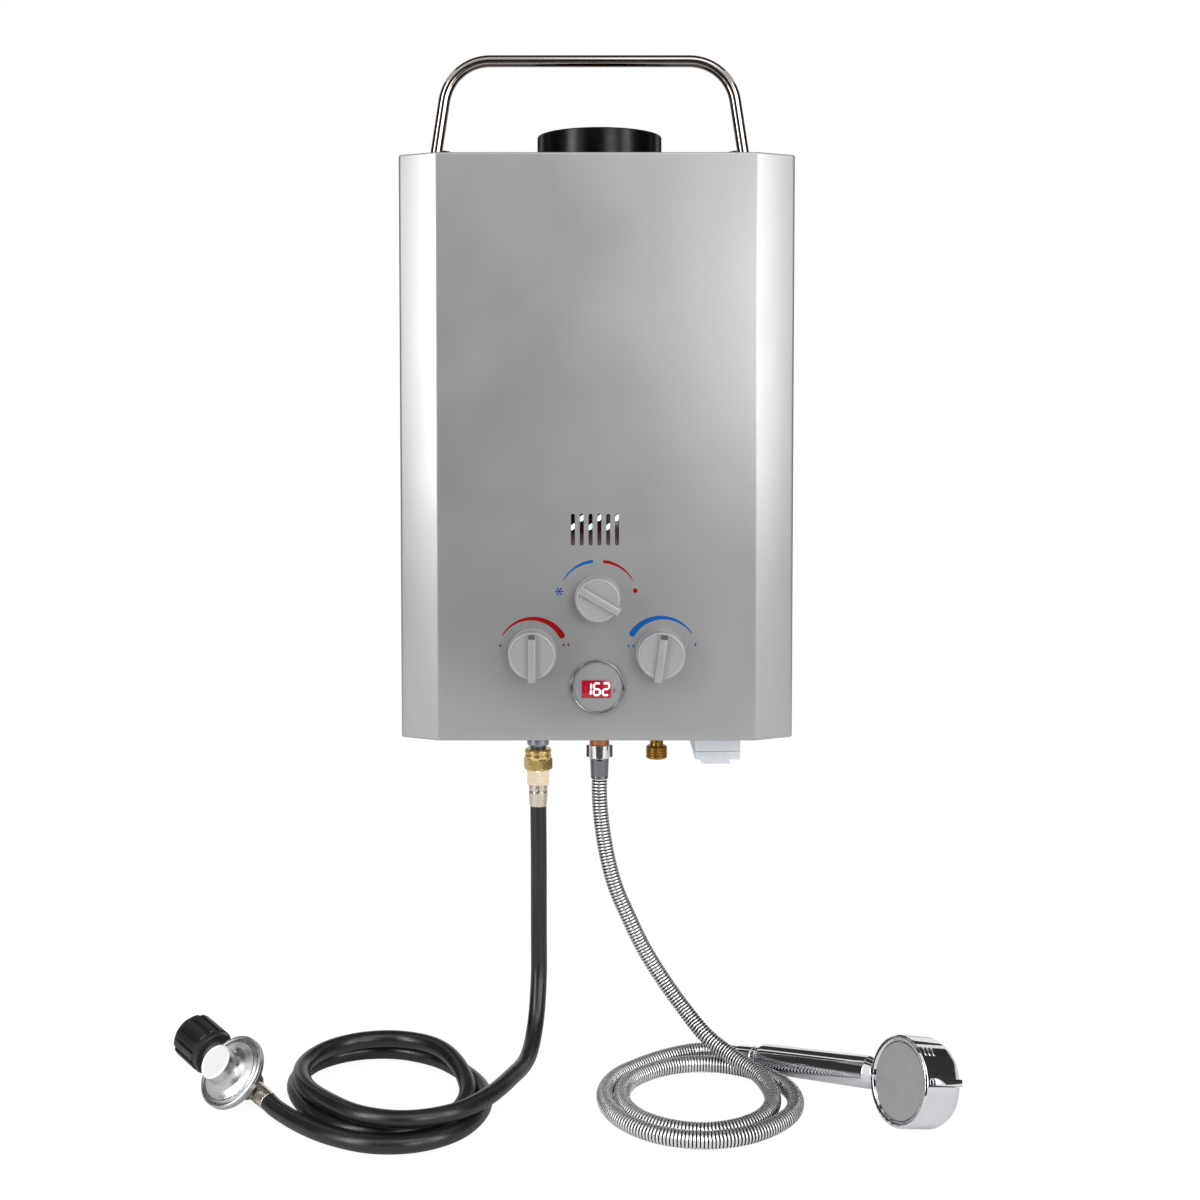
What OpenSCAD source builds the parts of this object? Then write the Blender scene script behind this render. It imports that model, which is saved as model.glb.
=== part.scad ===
// Portable propane water heater with its gas hose, regulator, shower hose and shower head.
// Millimetres. +Z is up, the front panel faces -Y, and the origin is the hang hole in the back panel.

/* [Case] */
// Width of the case
body_w = 295; // [270:1:340]
// Height of the case
body_h = 436; // [420:1:480]
// Depth of the case from the back panel to the front panel
body_d = 125; // [122:1:150]
// Width of the slanted strip at each side of the front
bevel_w = 29; // [20:1:36]
// Depth of the slanted strip
bevel_d = 14; // [8:1:18]
// Thickness of the case sheet
sheet = 0.8; // [0.6:0.1:1.2]
// Height of the case top above the hang hole
top_z = 25; // [20:1:40]
// Distance from the wall to the centre line of the fittings, the flue and the handle
core_depth = 60; // [57:0.5:64]
// Radius of the hang hole
hang_r = 5; // [4:0.25:7]
// Width of the slot above the hang hole
hang_slot = 5; // [3:0.25:6]
// Radius of a case screw
screw_r = 2; // [1.5:0.1:2.5]

/* [Front panel] */
// Number of viewing slots
slots = 6; // [4:1:8]
// Distance between viewing slots
slot_pitch = 6.55; // [5:0.05:7]
// Width of a viewing slot
slot_w = 3; // [2:0.1:4]
// Height of a viewing slot
slot_h = 23.7; // [16:0.1:26]
// Height of the viewing slots above the case bottom
slot_up = 158; // [154:0.5:162]

/* [Flue] */
// Outer radius of the flue collar
collar_r = 48; // [46:0.5:52]
// Height of the flue collar above the case
collar_h = 21.6; // [15:0.1:30]
// Wall of the flue collar
collar_wall = 2; // [1:0.1:2.5]
// Sideways place of the flue collar
flue_x = 2; // [-3:0.5:5]

/* [Handle] */
// Radius of the handle rod
rod_r = 4.5; // [3.5:0.1:5]
// Rise of the handle rod above the case top
handle_rise = 80; // [65:1:95]
// Half the length of the straight top of the handle
grip_half = 77; // [60:1:85]
// Radius of the handle corners
corner_r = 36; // [25:1:40]
// Outward lean of the handle legs
splay = 9; // [4:0.5:12]
// Sideways place of the handle
handle_x = -5.5; // [-8:0.5:4]
// Radius of the handle pins
pin_r = 3.5; // [2.5:0.1:4]
// Height of the handle pins above the case top
pin_up = 6; // [5.6:0.1:8]

/* [Controls] */
// Radius of the flame knob and the water knob
knob_r = 18; // [15:0.5:20]
// Radius of the season knob
season_r = 16.5; // [13:0.5:18]
// Depth of a knob
knob_d = 17; // [12:0.5:20]
// Width of the grip bar on a knob
bar_w = 6.5; // [4:0.1:8]
// Height of the grip bar above the knob face
bar_up = 2.5; // [1:0.1:4]
// Distance of the flame knob and the water knob from the middle
knob_x = 47.7; // [44:0.1:52]
// Height of the flame knob and the water knob above the case bottom
knob_up = 66; // [62:0.5:70]
// Height of the season knob above the case bottom
season_up = 107; // [105:0.5:110]
// Radius of a knob stem
stem_r = 3; // [2:0.1:4]

/* [Display] */
// Outer radius of the display ring
ring_r = 20.5; // [19:0.1:24]
// Width of the display ring
ring_w = 2.2; // [1.5:0.1:3]
// Height of the display above the case bottom
display_up = 40.5; // [36:0.5:43]
// Width of the display window
window_w = 21.7; // [18:0.1:26]
// Height of the display window
window_h = 13.3; // [10:0.1:16]

/* [Heat exchanger] */
// Width of the exchanger shell
core_w = 184; // [150:1:190]
// Depth of the exchanger shell
core_d = 84; // [70:1:86]
// Sheet of the exchanger shell
core_sheet = 0.8; // [0.6:0.1:1.5]
// Radius of the water pipes
pipe_r = 6; // [4.5:0.1:6.2]
// Wall of the water pipes
pipe_wall = 1; // [0.6:0.1:1.5]
// Number of fins
fins = 22; // [14:1:30]
// Thickness of a fin
fin_t = 0.8; // [0.5:0.1:1.2]
// Number of burner bars
bars = 9; // [6:1:10]
// Width of a burner bar
bar_body = 12; // [9:0.5:14]

/* [Fittings] */
// Sideways place of the gas inlet
gas_x = -46.3; // [-49:0.1:-44]
// Sideways place of the hot water outlet
outlet_x = 2; // [0:0.1:4]
// Sideways place of the cold water inlet
inlet_x = 47; // [45:0.1:49]
// Radius of the gas inlet stub
gas_stub_r = 6.6; // [5.5:0.1:7.5]
// Radius of the hot water outlet thread
outlet_r = 6.5; // [5.5:0.1:7]
// Radius of the bore in the cold water inlet
inlet_bore = 3.5; // [3:0.1:4.5]
// Radius of the threaded socket in the cold water inlet
inlet_socket_r = 6; // [5.2:0.1:6.6]
// Depth of the threaded socket in the cold water inlet
inlet_socket_l = 9; // [6:0.5:9]

/* [Battery box] */
// Width of the battery box
box_w = 34.6; // [34.5:0.1:40]
// Wall of the battery box
box_wall = 1; // [0.8:0.1:1.1]
// Radius of a cell
cell_r = 16.1; // [15:0.1:16.2]
// Length of a cell
cell_l = 60; // [50:0.5:61]
// Sideways place of the battery box
box_x = 92.5; // [92:0.25:100]

/* [Regulator] */
// Radius of the regulator's round housing
dome_r = 27; // [26:0.5:34]
// Radius of the hand nut
hand_nut_r = 17.5; // [17:0.25:21]
// Length of the hand nut
hand_nut_l = 35; // [30:1:44]
// Radius of the socket in the hand nut
socket_r = 14.25; // [13:0.25:16]

/* [Shower] */
// Radius of the shower head
head_r = 31.5; // [28:0.5:38]
// Depth of the shower head
head_d = 36; // [28:0.5:40]
// Wall of the shower head
head_wall = 2; // [1.5:0.1:3]
// Wall of the shower handle
grip_wall = 2.2; // [1.5:0.1:2.4]
// Radius of the grip where the hose joins
grip_r1 = 10.8; // [9:0.1:12]
// Radius of the grip at the head
grip_r2 = 11.8; // [10:0.1:13]

/* [Hoses] */
// Diameter of the gas hose
gas_hose_d = 12.8; // [10:0.1:13.5]
// Diameter of the shower hose
shower_hose_d = 12.6; // [10:0.1:13.5]

/* [Hidden] */
$fn = 48;

fit = 0.05;
gap = 0.3;
bottom_z = top_z - body_h;
core_y = -core_depth;
front_y = -body_d;
panel_in = front_y + sheet;

pin_z = top_z + pin_up;
handle_z = top_z + handle_rise;
leg_top_x = grip_half + corner_r * cos(splay);
leg_top_z = handle_z - corner_r + corner_r * sin(splay);
leg_l = (leg_top_z - pin_z) / cos(splay);
leg_x = leg_top_x + leg_l * sin(splay);
lug_t = 3;
lug_r = pin_r + 2;
lug_x = leg_x - rod_r / cos(splay) - lug_r * tan(splay) - gap - lug_t;
clip_t = 2;

knob_z = bottom_z + knob_up;
season_z = bottom_z + season_up;
season_x = 1;
season_tilt = 60;
water_tilt = -8;
display_x = 0.5;
display_z = bottom_z + display_up;
window_x = -0.85;
window_drop = 1.5;
stem_back = -93;
knob_back = front_y - 0.6;

shell_top = top_z - 80;
burner_top = bottom_z + 149;
burner_h = 43;
burner_bottom = burner_top - burner_h;
hood_top = top_z - 30;
spigot_r = core_d / 2 - core_sheet - 1;
fin_top = shell_top - 11;
fin_h = 44;
fin_pitch = (core_w - 2 * core_sheet - 8) / (fins - 1);
pass_z = fin_top - fin_h / 2;
pass_y = [core_y + 25, core_y, core_y - 25];
wrap_x = core_w / 2 + pipe_r + 0.5;
wrap_y = core_d / 2 + pipe_r + 0.5;
bar_pitch = (core_w - 2 * core_sheet) / bars;

valve_bottom = bottom_z + 26;
valve_h = 55;
valve_w = 44;
valve_front = core_y - 30;
valve_back = core_y + 15;
boss_r = 9;
boss_front = valve_front - 14;
rod_z = valve_bottom + 23;
push_r = 3;
push_travel = 3;
season_body_w = 36;
season_body_top = season_z + 11.5;
season_body_bottom = season_z - 16;
season_front = front_y + 7;
season_depth = core_y - core_d / 2 - 0.5 - season_front;
manifold_r = 6;
manifold_y = core_y - core_d / 2 - manifold_r - 1;
manifold_z = season_body_top + 6.5;
gas_pipe_r = 5;
gas_pipe_y = season_front + season_depth - 0.5;
igniter_x1 = body_w / 2 - sheet - 5;
igniter_x0 = igniter_x1 - 30;
igniter_front = -sheet - 45;
igniter_bottom = burner_bottom - 25;
igniter_h = 90;

box_y0 = core_y - 35.5;
box_y1 = core_y + 35.5;
box_top = bottom_z + 45.5;
lid_split = bottom_z - 14.2;
lid_bottom = lid_split - 6.5;
lid_pin_y = box_y1 + 2.6;
lid_pin_z = lid_split - 1.2;
lid_pin_r = 1;
barrel_r = 2.2;

gas_collar_z = bottom_z - 16.5;
flare_top = bottom_z - 19;
hex_top = flare_top - 7.4;
adapter_top = hex_top - 9.1;
ferrule_top = adapter_top - 12;
outlet_collar_z = bottom_z - 16;
sleeve_top = outlet_collar_z - 11;

// Height of the case bottom for which the ways of the hoses are drawn
drawn_bottom = -411;
hang = [0, 0, bottom_z - drawn_bottom];
// Way of the gas hose, from the ferrule under the case to the ferrule of the regulator.
gas_way = [
    [-46.3, -60, -476], [-46, -60, -512], [-46, -60, -547], [-46, -60, -580],
    [-46, -64, -613], [-48, -80, -643], [-53, -108, -659], [-64, -142, -660],
    [-79, -175, -660], [-102, -202, -660], [-134, -213, -660], [-166, -205, -660],
    [-192, -184, -660], [-213.5, -156.5, -660], [-222, -122.5, -660], [-211.5, -91.5, -660],
    [-187, -72, -660], [-155.5, -68.5, -660], [-125, -84, -660], [-105.5, -112.5, -663],
    [-95.5, -147.5, -669], [-105, -178, -673], [-129, -198.5, -673], [-162, -202.5, -673],
    [-195, -185.5, -673], [-218, -152, -673], [-228, -117, -673], [-219, -84, -673],
    [-194, -63.5, -673], [-161, -59.5, -673], [-129, -73, -673], [-105, -98, -673],
    [-87, -130, -673], [-83.5, -165, -673], [-96, -199, -673], [-122, -219.5, -673],
    [-155, -222.5, -673], [-187, -209, -673], [-212.5, -189, -673],
    [-231.9, -169.7, -671.9], [-240, -161, -670]
];
// Way of the shower hose, from the sleeve under the case to the nut of the shower handle.
shower_way = [
    [2, -60, -454], [2, -60, -466], [3, -60, -483], [7, -60, -511], [14, -60, -539],
    [25, -60, -565], [37, -60, -590], [52, -62, -614], [69, -69, -636],
    [85.5, -82.5, -652], [104, -97, -662], [123.5, -120.5, -668], [130, -149, -672],
    [122, -175.5, -673], [103, -194.5, -673], [77, -202.5, -673], [49.5, -196, -673],
    [28, -177, -673], [18.5, -148.5, -673], [24.5, -119.5, -673], [42.5, -98.5, -673],
    [68, -86.5, -673], [96, -87, -673], [120.5, -99, -673], [138.5, -119.5, -673],
    [146.5, -145.5, -673], [142, -172, -673], [125, -195, -673], [102, -210.5, -673],
    [74, -216, -673], [46, -209, -673], [23.5, -191.5, -673], [9.5, -166.5, -673],
    [6, -138, -673], [14.5, -110.5, -673], [33, -89, -673], [54, -72, -673],
    [76, -61, -673], [95, -59.5, -673], [107, -63.5, -673.5], [113, -68, -673]
];
gas_path = [for (p = gas_way) p + hang];
shower_path = [for (p = shower_way) p + hang];
gas_end = gas_path[len(gas_path) - 1];
shower_end = shower_path[len(shower_path) - 1];
hose_sides = 12;

reg_heading = 133;
reg_pitch = 9;
reg_roll = -49;
reg_ferrule_l = 18;
reg_centre = 37;
reg_block_r = 11;
reg_rim = 13;
bell_r = 12.7;
bell_up = 34;
neck_r = 8;
hand_nut_x = 78;

grip_heading = -45;
grip_pitch = 10.4;
end_nut_l = 24;
end_nut_r = 7.8;
grip_l = 137;
grip_way = [cos(grip_pitch) * cos(grip_heading), cos(grip_pitch) * sin(grip_heading), sin(grip_pitch)];
head_at = shower_end + (end_nut_l + grip_l + 6.6) * grip_way + [0, 0, -2.6];
head_heading = -153.5;
head_up = 13.2;
face_z = head_d / 2;
lever_angle = 110;
lever_sweep = 15;
lever_w = 5;

/* Helpers */
function unit(v) = v / norm(v);
function tangent(p, i) = unit(p[min(i + 1, len(p) - 1)] - p[max(i - 1, 0)]);
function carried(n, t) = unit(n - (n * t) * t);
function normals(p, first) = [
    for (i = 0, n = carried(first, tangent(p, 0)); i < len(p); i = i + 1,
        n = carried(n, tangent(p, min(i, len(p) - 1)))) n
];
function corner(p, i, l, n) = [
    for (k = [0:n]) p[i] + unit(p[i - 1] - p[i]) * l * pow(1 - k / n, 2)
        + unit(p[i + 1] - p[i]) * l * pow(k / n, 2)
];
function bent(p, l, n = 4) = concat([p[0]], [for (i = [1:len(p) - 2]) each corner(p, i, l, n)],
    [p[len(p) - 1]]);

// One closed tube along a list of points, hollow if it has a bore
module tube(points, radius, sides, first = [1, 0, 0], bore = 0) {
    normal = normals(points, first);
    last = len(points) - 1;
    inner = (last + 1) * sides;
    rings = [
        for (r = bore > 0 ? [radius, bore] : [radius], i = [0:last], k = [0:sides - 1]) let (
            across = cross(tangent(points, i), normal[i]),
            turn = 360 * k / sides
        ) points[i] + r * (cos(turn) * normal[i] + sin(turn) * across)
    ];
    caps = bore > 0 ? [
        for (k = [0:sides - 1]) let (
            m = (k + 1) % sides,
            a = last * sides + k,
            b = last * sides + m
        ) each [[k, m, m + inner], [k, m + inner, k + inner],
            [a, b + inner, b], [a, a + inner, b + inner]]
    ] : [[for (k = [0:sides - 1]) k], [for (k = [sides - 1:-1:0]) last * sides + k]];
    walls = [
        for (i = [0:last - 1], k = [0:sides - 1]) let (
            a = i * sides + k,
            b = i * sides + (k + 1) % sides
        ) each [[a, a + sides, b + sides], [a, b + sides, b]]
    ];
    lining = bore > 0 ? [for (f = walls) [f[2] + inner, f[1] + inner, f[0] + inner]] : [];
    polyhedron(points = rings, faces = concat(caps, walls, lining), convexity = 10);
}

module rod_x(x0, x1, r) {
    translate([x0, 0, 0]) rotate([0, 90, 0]) cylinder(h = x1 - x0, r = r);
}

module rod_y(y0, y1, r) {
    translate([0, y0, 0]) rotate([-90, 0, 0]) cylinder(h = y1 - y0, r = r);
}

module rod_z(z0, z1, r) {
    translate([0, 0, z0]) cylinder(h = z1 - z0, r = r);
}

module block(x0, x1, y0, y1, z0, z1) {
    translate([x0, y0, z0]) cube([x1 - x0, y1 - y0, z1 - z0]);
}

// Plan of the case, moved inwards by the value t
function case_plan(t) = let (
    k = bevel_d / bevel_w,
    s = t * sqrt(1 + k * k),
    side = body_w / 2 - t,
    shoulder = -(body_d - bevel_d) - t * k + s,
    flat = body_w / 2 - (bevel_d + s - t) / k
) [[-side, -sheet], [-side, shoulder], [-flat, front_y + t], [flat, front_y + t],
    [side, shoulder], [side, -sheet]];

module case_solid(t, z0, z1) {
    translate([0, 0, z0]) linear_extrude(z1 - z0) polygon(case_plan(t));
}

module gas_end_frame() {
    translate(gas_end) rotate([reg_roll, -reg_pitch, reg_heading]) children();
}

module grip_frame() {
    translate(shower_end) rotate([0, -grip_pitch, grip_heading]) children();
}

module head_frame() {
    translate(head_at) rotate([0, 90 - head_up, head_heading]) children();
}

module front_cover() {
    color("silver") difference() {
        case_solid(0, bottom_z, top_z);
        case_solid(sheet, bottom_z - 1, top_z + 1);
        block(-body_w / 2 + sheet, body_w / 2 - sheet, -2 * sheet, 1, bottom_z - 1, top_z + 1);
        for (i = [0:slots - 1]) {
            translate([(i - (slots - 1) / 2) * slot_pitch - 1.35, 0, bottom_z + slot_up])
                viewing_slot();
        }
        for (x = [-knob_x, knob_x]) {
            translate([x, 0, knob_z]) rod_y(front_y - 1, panel_in + 1, stem_r + 1.5);
        }
        translate([season_x, 0, season_z]) rod_y(front_y - 1, panel_in + 1, stem_r + 1.5);
        translate([display_x, 0, display_z])
            rod_y(front_y - 1, panel_in + 1, ring_r - ring_w + fit);
    }
}

module viewing_slot() {
    rise = (slot_h - slot_w) / 2;
    block(-slot_w / 2, slot_w / 2, front_y - 1, panel_in + 1, -rise, rise);
    for (z = [-rise, rise]) {
        translate([0, 0, z]) rod_y(front_y - 1, panel_in + 1, slot_w / 2);
    }
}

module back_panel() {
    flange = 14;
    side = body_w / 2 - sheet;
    color("gainsboro") difference() {
        union() {
            block(-body_w / 2, body_w / 2, -sheet, 0, bottom_z, top_z);
            for (s = [-1, 1]) {
                block(min(s * side, s * (side - sheet)), max(s * side, s * (side - sheet)),
                    -flange, -sheet, bottom_z + 6, top_z - 6);
            }
            for (x = [-70, 40], z = [burner_bottom + 20, -90]) {
                block(x, x + 30, core_y + core_d / 2, -sheet, z, z + sheet);
            }
        }
        rod_y(-sheet - 1, 1, hang_r);
        block(-hang_slot / 2, hang_slot / 2, -sheet - 1, 1, 0, hang_r + 8);
        translate([0, 0, hang_r + 8]) rod_y(-sheet - 1, 1, hang_slot / 2);
    }
}

module top_plate() {
    color("silver") difference() {
        case_solid(sheet, top_z - sheet, top_z);
        translate([flue_x, core_y, 0]) rod_z(top_z - 5, top_z + 1, spigot_r + fit);
    }
}

module bottom_plate() {
    color("silver") difference() {
        case_solid(sheet, bottom_z, bottom_z + sheet);
        translate([gas_x, core_y, 0]) rod_z(bottom_z - 1, bottom_z + 5, gas_stub_r + fit);
        translate([outlet_x, core_y, 0]) rod_z(bottom_z - 1, bottom_z + 5, outlet_r + fit);
        translate([inlet_x, core_y, 0]) rod_z(bottom_z - 1, bottom_z + 5, inlet_bore + 1.6 + fit);
        block(box_x - box_w / 2 - fit, box_x + box_w / 2 + fit, box_y0 - fit, box_y1 + fit,
            bottom_z - 1, bottom_z + 5);
    }
}

module cover_screws() {
    color("dimgray") for (s = [-1, 1], z = [bottom_z + 40, top_z - 40]) {
        translate([s * body_w / 2, -8, z]) rotate([0, s * 90, 0]) {
            cylinder(h = 1.4, r = screw_r * 1.8);
        }
    }
}

module flue_collar() {
    lip = 1.4;
    color("black") translate([flue_x, core_y, 0]) difference() {
        union() {
            rod_z(top_z, top_z + 1.2, collar_r + 7);
            rod_z(top_z, top_z + collar_h, collar_r);
            translate([0, 0, top_z + collar_h - lip]) rotate_extrude()
                translate([collar_r - 0.4, 0]) circle(r = lip);
        }
        rod_z(top_z - 1, top_z + collar_h + 3, collar_r - collar_wall);
    }
}

module flue_hood() {
    x = core_w / 2;
    y = core_d / 2;
    color("lightgray") translate([0, core_y, 0]) difference() {
        union() {
            block(-x, x, -y, y, shell_top, hood_top);
            translate([flue_x, 0, 0]) rod_z(hood_top - 1, top_z + collar_h - 4, spigot_r);
        }
        block(-x + core_sheet, x - core_sheet, -y + core_sheet, y - core_sheet,
            shell_top - 1, hood_top - core_sheet);
        translate([flue_x, 0, 0]) rod_z(hood_top - 5, top_z + collar_h, spigot_r - core_sheet);
    }
}

module handle_half() {
    rotate([90, 0, 0]) translate([grip_half, handle_z - corner_r, 0]) rotate([0, 0, splay])
        rotate_extrude(angle = 90 - splay) translate([corner_r, 0]) circle(r = rod_r);
    translate([leg_top_x, 0, leg_top_z]) rotate([0, 180 - splay, 0])
        cylinder(h = leg_l + 3, r = rod_r);
    translate([0, 0, pin_z]) rod_x(lug_x - clip_t - gap - 1, leg_x, pin_r);
    translate([0, 0, pin_z]) rod_x(lug_x - clip_t - gap, lug_x - gap, pin_r + 1.5);
}

module handle() {
    color("gainsboro") translate([handle_x, core_y, 0]) {
        translate([0, 0, handle_z]) rod_x(-grip_half, grip_half, rod_r);
        handle_half();
        mirror([1, 0, 0]) handle_half();
    }
}

module handle_brackets() {
    color("dimgray") translate([handle_x, core_y, 0]) for (s = [0, 1]) {
        mirror([s, 0, 0]) difference() {
            union() {
                block(lug_x - 16, lug_x + lug_t, -9, 9, top_z, top_z + 0.4);
                block(lug_x, lug_x + lug_t, -lug_r, lug_r, top_z, pin_z);
                translate([0, 0, pin_z]) rod_x(lug_x, lug_x + lug_t, lug_r);
            }
            translate([0, 0, pin_z]) rod_x(lug_x - 1, lug_x + lug_t + 1, pin_r + fit);
        }
    }
}

module exchanger_shell() {
    x = core_w / 2;
    y = core_d / 2;
    color("peru") difference() {
        translate([0, core_y, 0]) difference() {
            block(-x, x, -y, y, burner_top, shell_top);
            block(-x + core_sheet, x - core_sheet, -y + core_sheet, y - core_sheet,
                burner_top - 1, shell_top + 1);
            block(-24, 24, -y - 1, -y + core_sheet + 1, burner_top - 1, burner_top + 24);
        }
        for (py = pass_y) {
            translate([0, py, pass_z]) rod_x(-x - 1, x + 1, pipe_r + fit);
        }
        for (px = [-34, 34]) {
            translate([px, core_y, burner_top + 8]) rod_y(-y - 1, -y + core_sheet + 1, 1);
        }
    }
}

module exchanger_fins() {
    y = core_d / 2 - core_sheet;
    color("sandybrown") difference() {
        for (i = [0:fins - 1]) {
            translate([(i - (fins - 1) / 2) * fin_pitch, core_y, 0])
                block(-fin_t / 2, fin_t / 2, -y, y, fin_top - fin_h, fin_top);
        }
        for (py = pass_y) {
            translate([0, py, pass_z]) rod_x(-core_w / 2, core_w / 2, pipe_r + fit);
        }
    }
}

coil_start = burner_top + 22;
wrap_z = burner_top + 50;
coil_corners = [
    [wrap_x, core_y, coil_start], [wrap_x, core_y, wrap_z],
    [wrap_x, core_y - wrap_y, wrap_z], [-wrap_x, core_y - wrap_y, wrap_z + 7],
    [-wrap_x, core_y + wrap_y, wrap_z + 14], [wrap_x, core_y + wrap_y, wrap_z + 21],
    [wrap_x, core_y - wrap_y, wrap_z + 42], [-wrap_x, core_y - wrap_y, wrap_z + 49],
    [-wrap_x, core_y + wrap_y, wrap_z + 56], [wrap_x, core_y + wrap_y, wrap_z + 63],
    [wrap_x, pass_y[0], wrap_z + 63], [wrap_x, pass_y[0], pass_z],
    [-wrap_x, pass_y[0], pass_z], [-wrap_x, pass_y[1], pass_z],
    [wrap_x, pass_y[1], pass_z], [wrap_x, pass_y[2], pass_z],
    [-wrap_x - 14, pass_y[2], pass_z], [-wrap_x - 14, pass_y[2], pass_z - 37]
];
coil_end = coil_corners[len(coil_corners) - 1];

module exchanger_coil() {
    color("chocolate") tube(bent(coil_corners, 8), pipe_r, 12, [1, 0, 0], pipe_r - pipe_wall);
}

module burner_frame() {
    x = core_w / 2;
    y = core_d / 2;
    color("darkgray") translate([0, core_y, 0]) difference() {
        block(-x, x, -y, y, burner_bottom, burner_top);
        block(-x + core_sheet, x - core_sheet, -y + core_sheet, y - core_sheet,
            burner_bottom - 1, burner_top + 1);
        for (i = [0:bars - 1]) {
            translate([(i - (bars - 1) / 2) * bar_pitch, 0, manifold_z])
                rod_y(-y - 1, -y + core_sheet + 1, 3 + fit);
        }
    }
}

module burner_bars() {
    y = core_d / 2 - core_sheet;
    color("dimgray") for (i = [0:bars - 1]) {
        translate([(i - (bars - 1) / 2) * bar_pitch, core_y, 0]) difference() {
            block(-bar_body / 2, bar_body / 2, -y, y, burner_bottom + 4, burner_top - 4);
            for (j = [-6:6]) {
                block(-bar_body / 2 + 2, bar_body / 2 - 2, j * 5.6 - 0.8, j * 5.6 + 0.8,
                    burner_top - 12, burner_top);
            }
            block(-bar_body / 2 + 1, bar_body / 2 - 1, -y + 8, y - 1, burner_bottom + 5,
                burner_top - 10);
            translate([0, 0, manifold_z]) rod_y(-y - 1, -y + 12, 3 + fit);
        }
    }
}

module gas_manifold() {
    reach = (bars - 1) / 2 * bar_pitch + 6;
    front_wall = core_y - core_d / 2;
    color("silver") {
        translate([0, manifold_y, manifold_z]) rod_x(-reach, reach, manifold_r);
        block(-12, 14, manifold_y - manifold_r, manifold_y + manifold_r,
            season_body_top, manifold_z);
        for (i = [0:bars - 1]) {
            translate([(i - (bars - 1) / 2) * bar_pitch, 0, manifold_z])
                rod_y(manifold_y, front_wall + core_sheet + 4, 3);
        }
    }
}

module electrodes() {
    front_wall = core_y - core_d / 2;
    color("white") for (x = [-34, 34]) {
        translate([x, 0, burner_top + 8]) {
            rod_y(front_wall - 10, front_wall, 3);
            rod_y(front_wall - 1, front_wall + 8, 0.9);
        }
    }
}

module thermal_sensors() {
    color("black") {
        translate([core_w / 2 - 32, core_y - core_d / 2, hood_top - 25]) rod_y(-4, 0, 8);
        translate([coil_end[0], coil_end[1], wrap_z + 26.5]) difference() {
            rod_z(0, 10, pipe_r + 3);
            rod_z(-1, 11, pipe_r + fit);
        }
    }
}

module gas_valve_body() {
    color("lightslategray") difference() {
        union() {
            translate([gas_x, 0, 0]) block(-valve_w / 2, valve_w / 2, valve_front, valve_back,
                valve_bottom, valve_bottom + valve_h);
            translate([-knob_x, 0, knob_z]) rod_y(boss_front, valve_front + 1, boss_r);
        }
        translate([-knob_x, 0, knob_z]) rod_y(boss_front - 1, stem_back, stem_r + fit);
        translate([gas_x, core_y, rod_z]) rod_x(valve_w / 2 - 12, valve_w / 2 + 1, push_r + fit);
    }
}

module gas_solenoid() {
    color("goldenrod") translate([gas_x, 0, valve_bottom + 30]) {
        rod_y(valve_back, valve_back + 26, 11);
    }
}

module gas_pipe() {
    pipe_z = knob_z;
    color("silver") tube(bent([
        [gas_x + valve_w / 2, core_y - 15, pipe_z], [season_x, core_y - 15, pipe_z],
        [season_x, gas_pipe_y, pipe_z], [season_x, gas_pipe_y, season_body_bottom]
    ], 9), gas_pipe_r, 12, [0, 0, 1], gas_pipe_r - pipe_wall);
}

module water_valve_body() {
    color("goldenrod") difference() {
        union() {
            translate([inlet_x, 0, 0]) block(-valve_w / 2, valve_w / 2, valve_front, valve_back,
                valve_bottom, valve_bottom + valve_h);
            translate([knob_x, 0, knob_z]) rod_y(boss_front, valve_front + 1, boss_r);
        }
        translate([knob_x, 0, knob_z]) rod_y(boss_front - 1, stem_back, stem_r + fit);
        translate([inlet_x, core_y, rod_z]) rod_x(-valve_w / 2 - 1, valve_w / 2 - 6, 13);
    }
}

module valve_cover() {
    thick = 12;
    color("darkgoldenrod") translate([inlet_x - valve_w / 2 - thick, core_y, rod_z]) difference() {
        rod_x(0, thick, valve_h / 2 - 5);
        rod_x(-1, thick + 1, push_r + fit);
    }
}

module push_rod() {
    color("silver") translate([0, core_y, rod_z])
        rod_x(gas_x + valve_w / 2 - 6, inlet_x - valve_w / 2 + 2, push_r);
}

module micro_switch() {
    face = inlet_x - valve_w / 2 - 12;
    color("black") {
        block(face - 9, face, core_y - 6, core_y + 6, rod_z + 6, rod_z + 17);
        block(face - 6, face - 4, core_y - 2, core_y + 2, rod_z + push_r + gap, rod_z + 6);
    }
}

module season_valve() {
    color("silver") difference() {
        block(season_x - season_body_w / 2, season_x + season_body_w / 2, season_front,
            season_front + season_depth, season_body_bottom, season_body_top);
        translate([season_x, 0, season_z])
            rod_y(season_front - 1, season_front + season_depth - 3.5, stem_r + fit);
    }
}

module cold_pipe() {
    color("chocolate") tube(bent([
        [inlet_x + valve_w / 2, core_y, rod_z + 12], [wrap_x, core_y, rod_z + 12],
        [wrap_x, core_y, coil_start]
    ], 12), pipe_r, 12, [0, 1, 0], pipe_r - pipe_wall);
}

module hot_pipe() {
    back = core_y + 35;
    low = bottom_z + 15;
    color("chocolate") tube(bent([
        coil_end, [coil_end[0], coil_end[1], burner_bottom + 5],
        [coil_end[0], back, burner_bottom + 5], [coil_end[0], back, low],
        [outlet_x, back, low], [outlet_x, core_y, low], [outlet_x, core_y, bottom_z + 2]
    ], 10), pipe_r, 12, [1, 0, 0], pipe_r - pipe_wall);
}

module igniter_box() {
    color("darkslategray") block(igniter_x0, igniter_x1, igniter_front, -sheet,
        igniter_bottom, igniter_bottom + igniter_h);
}

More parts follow.
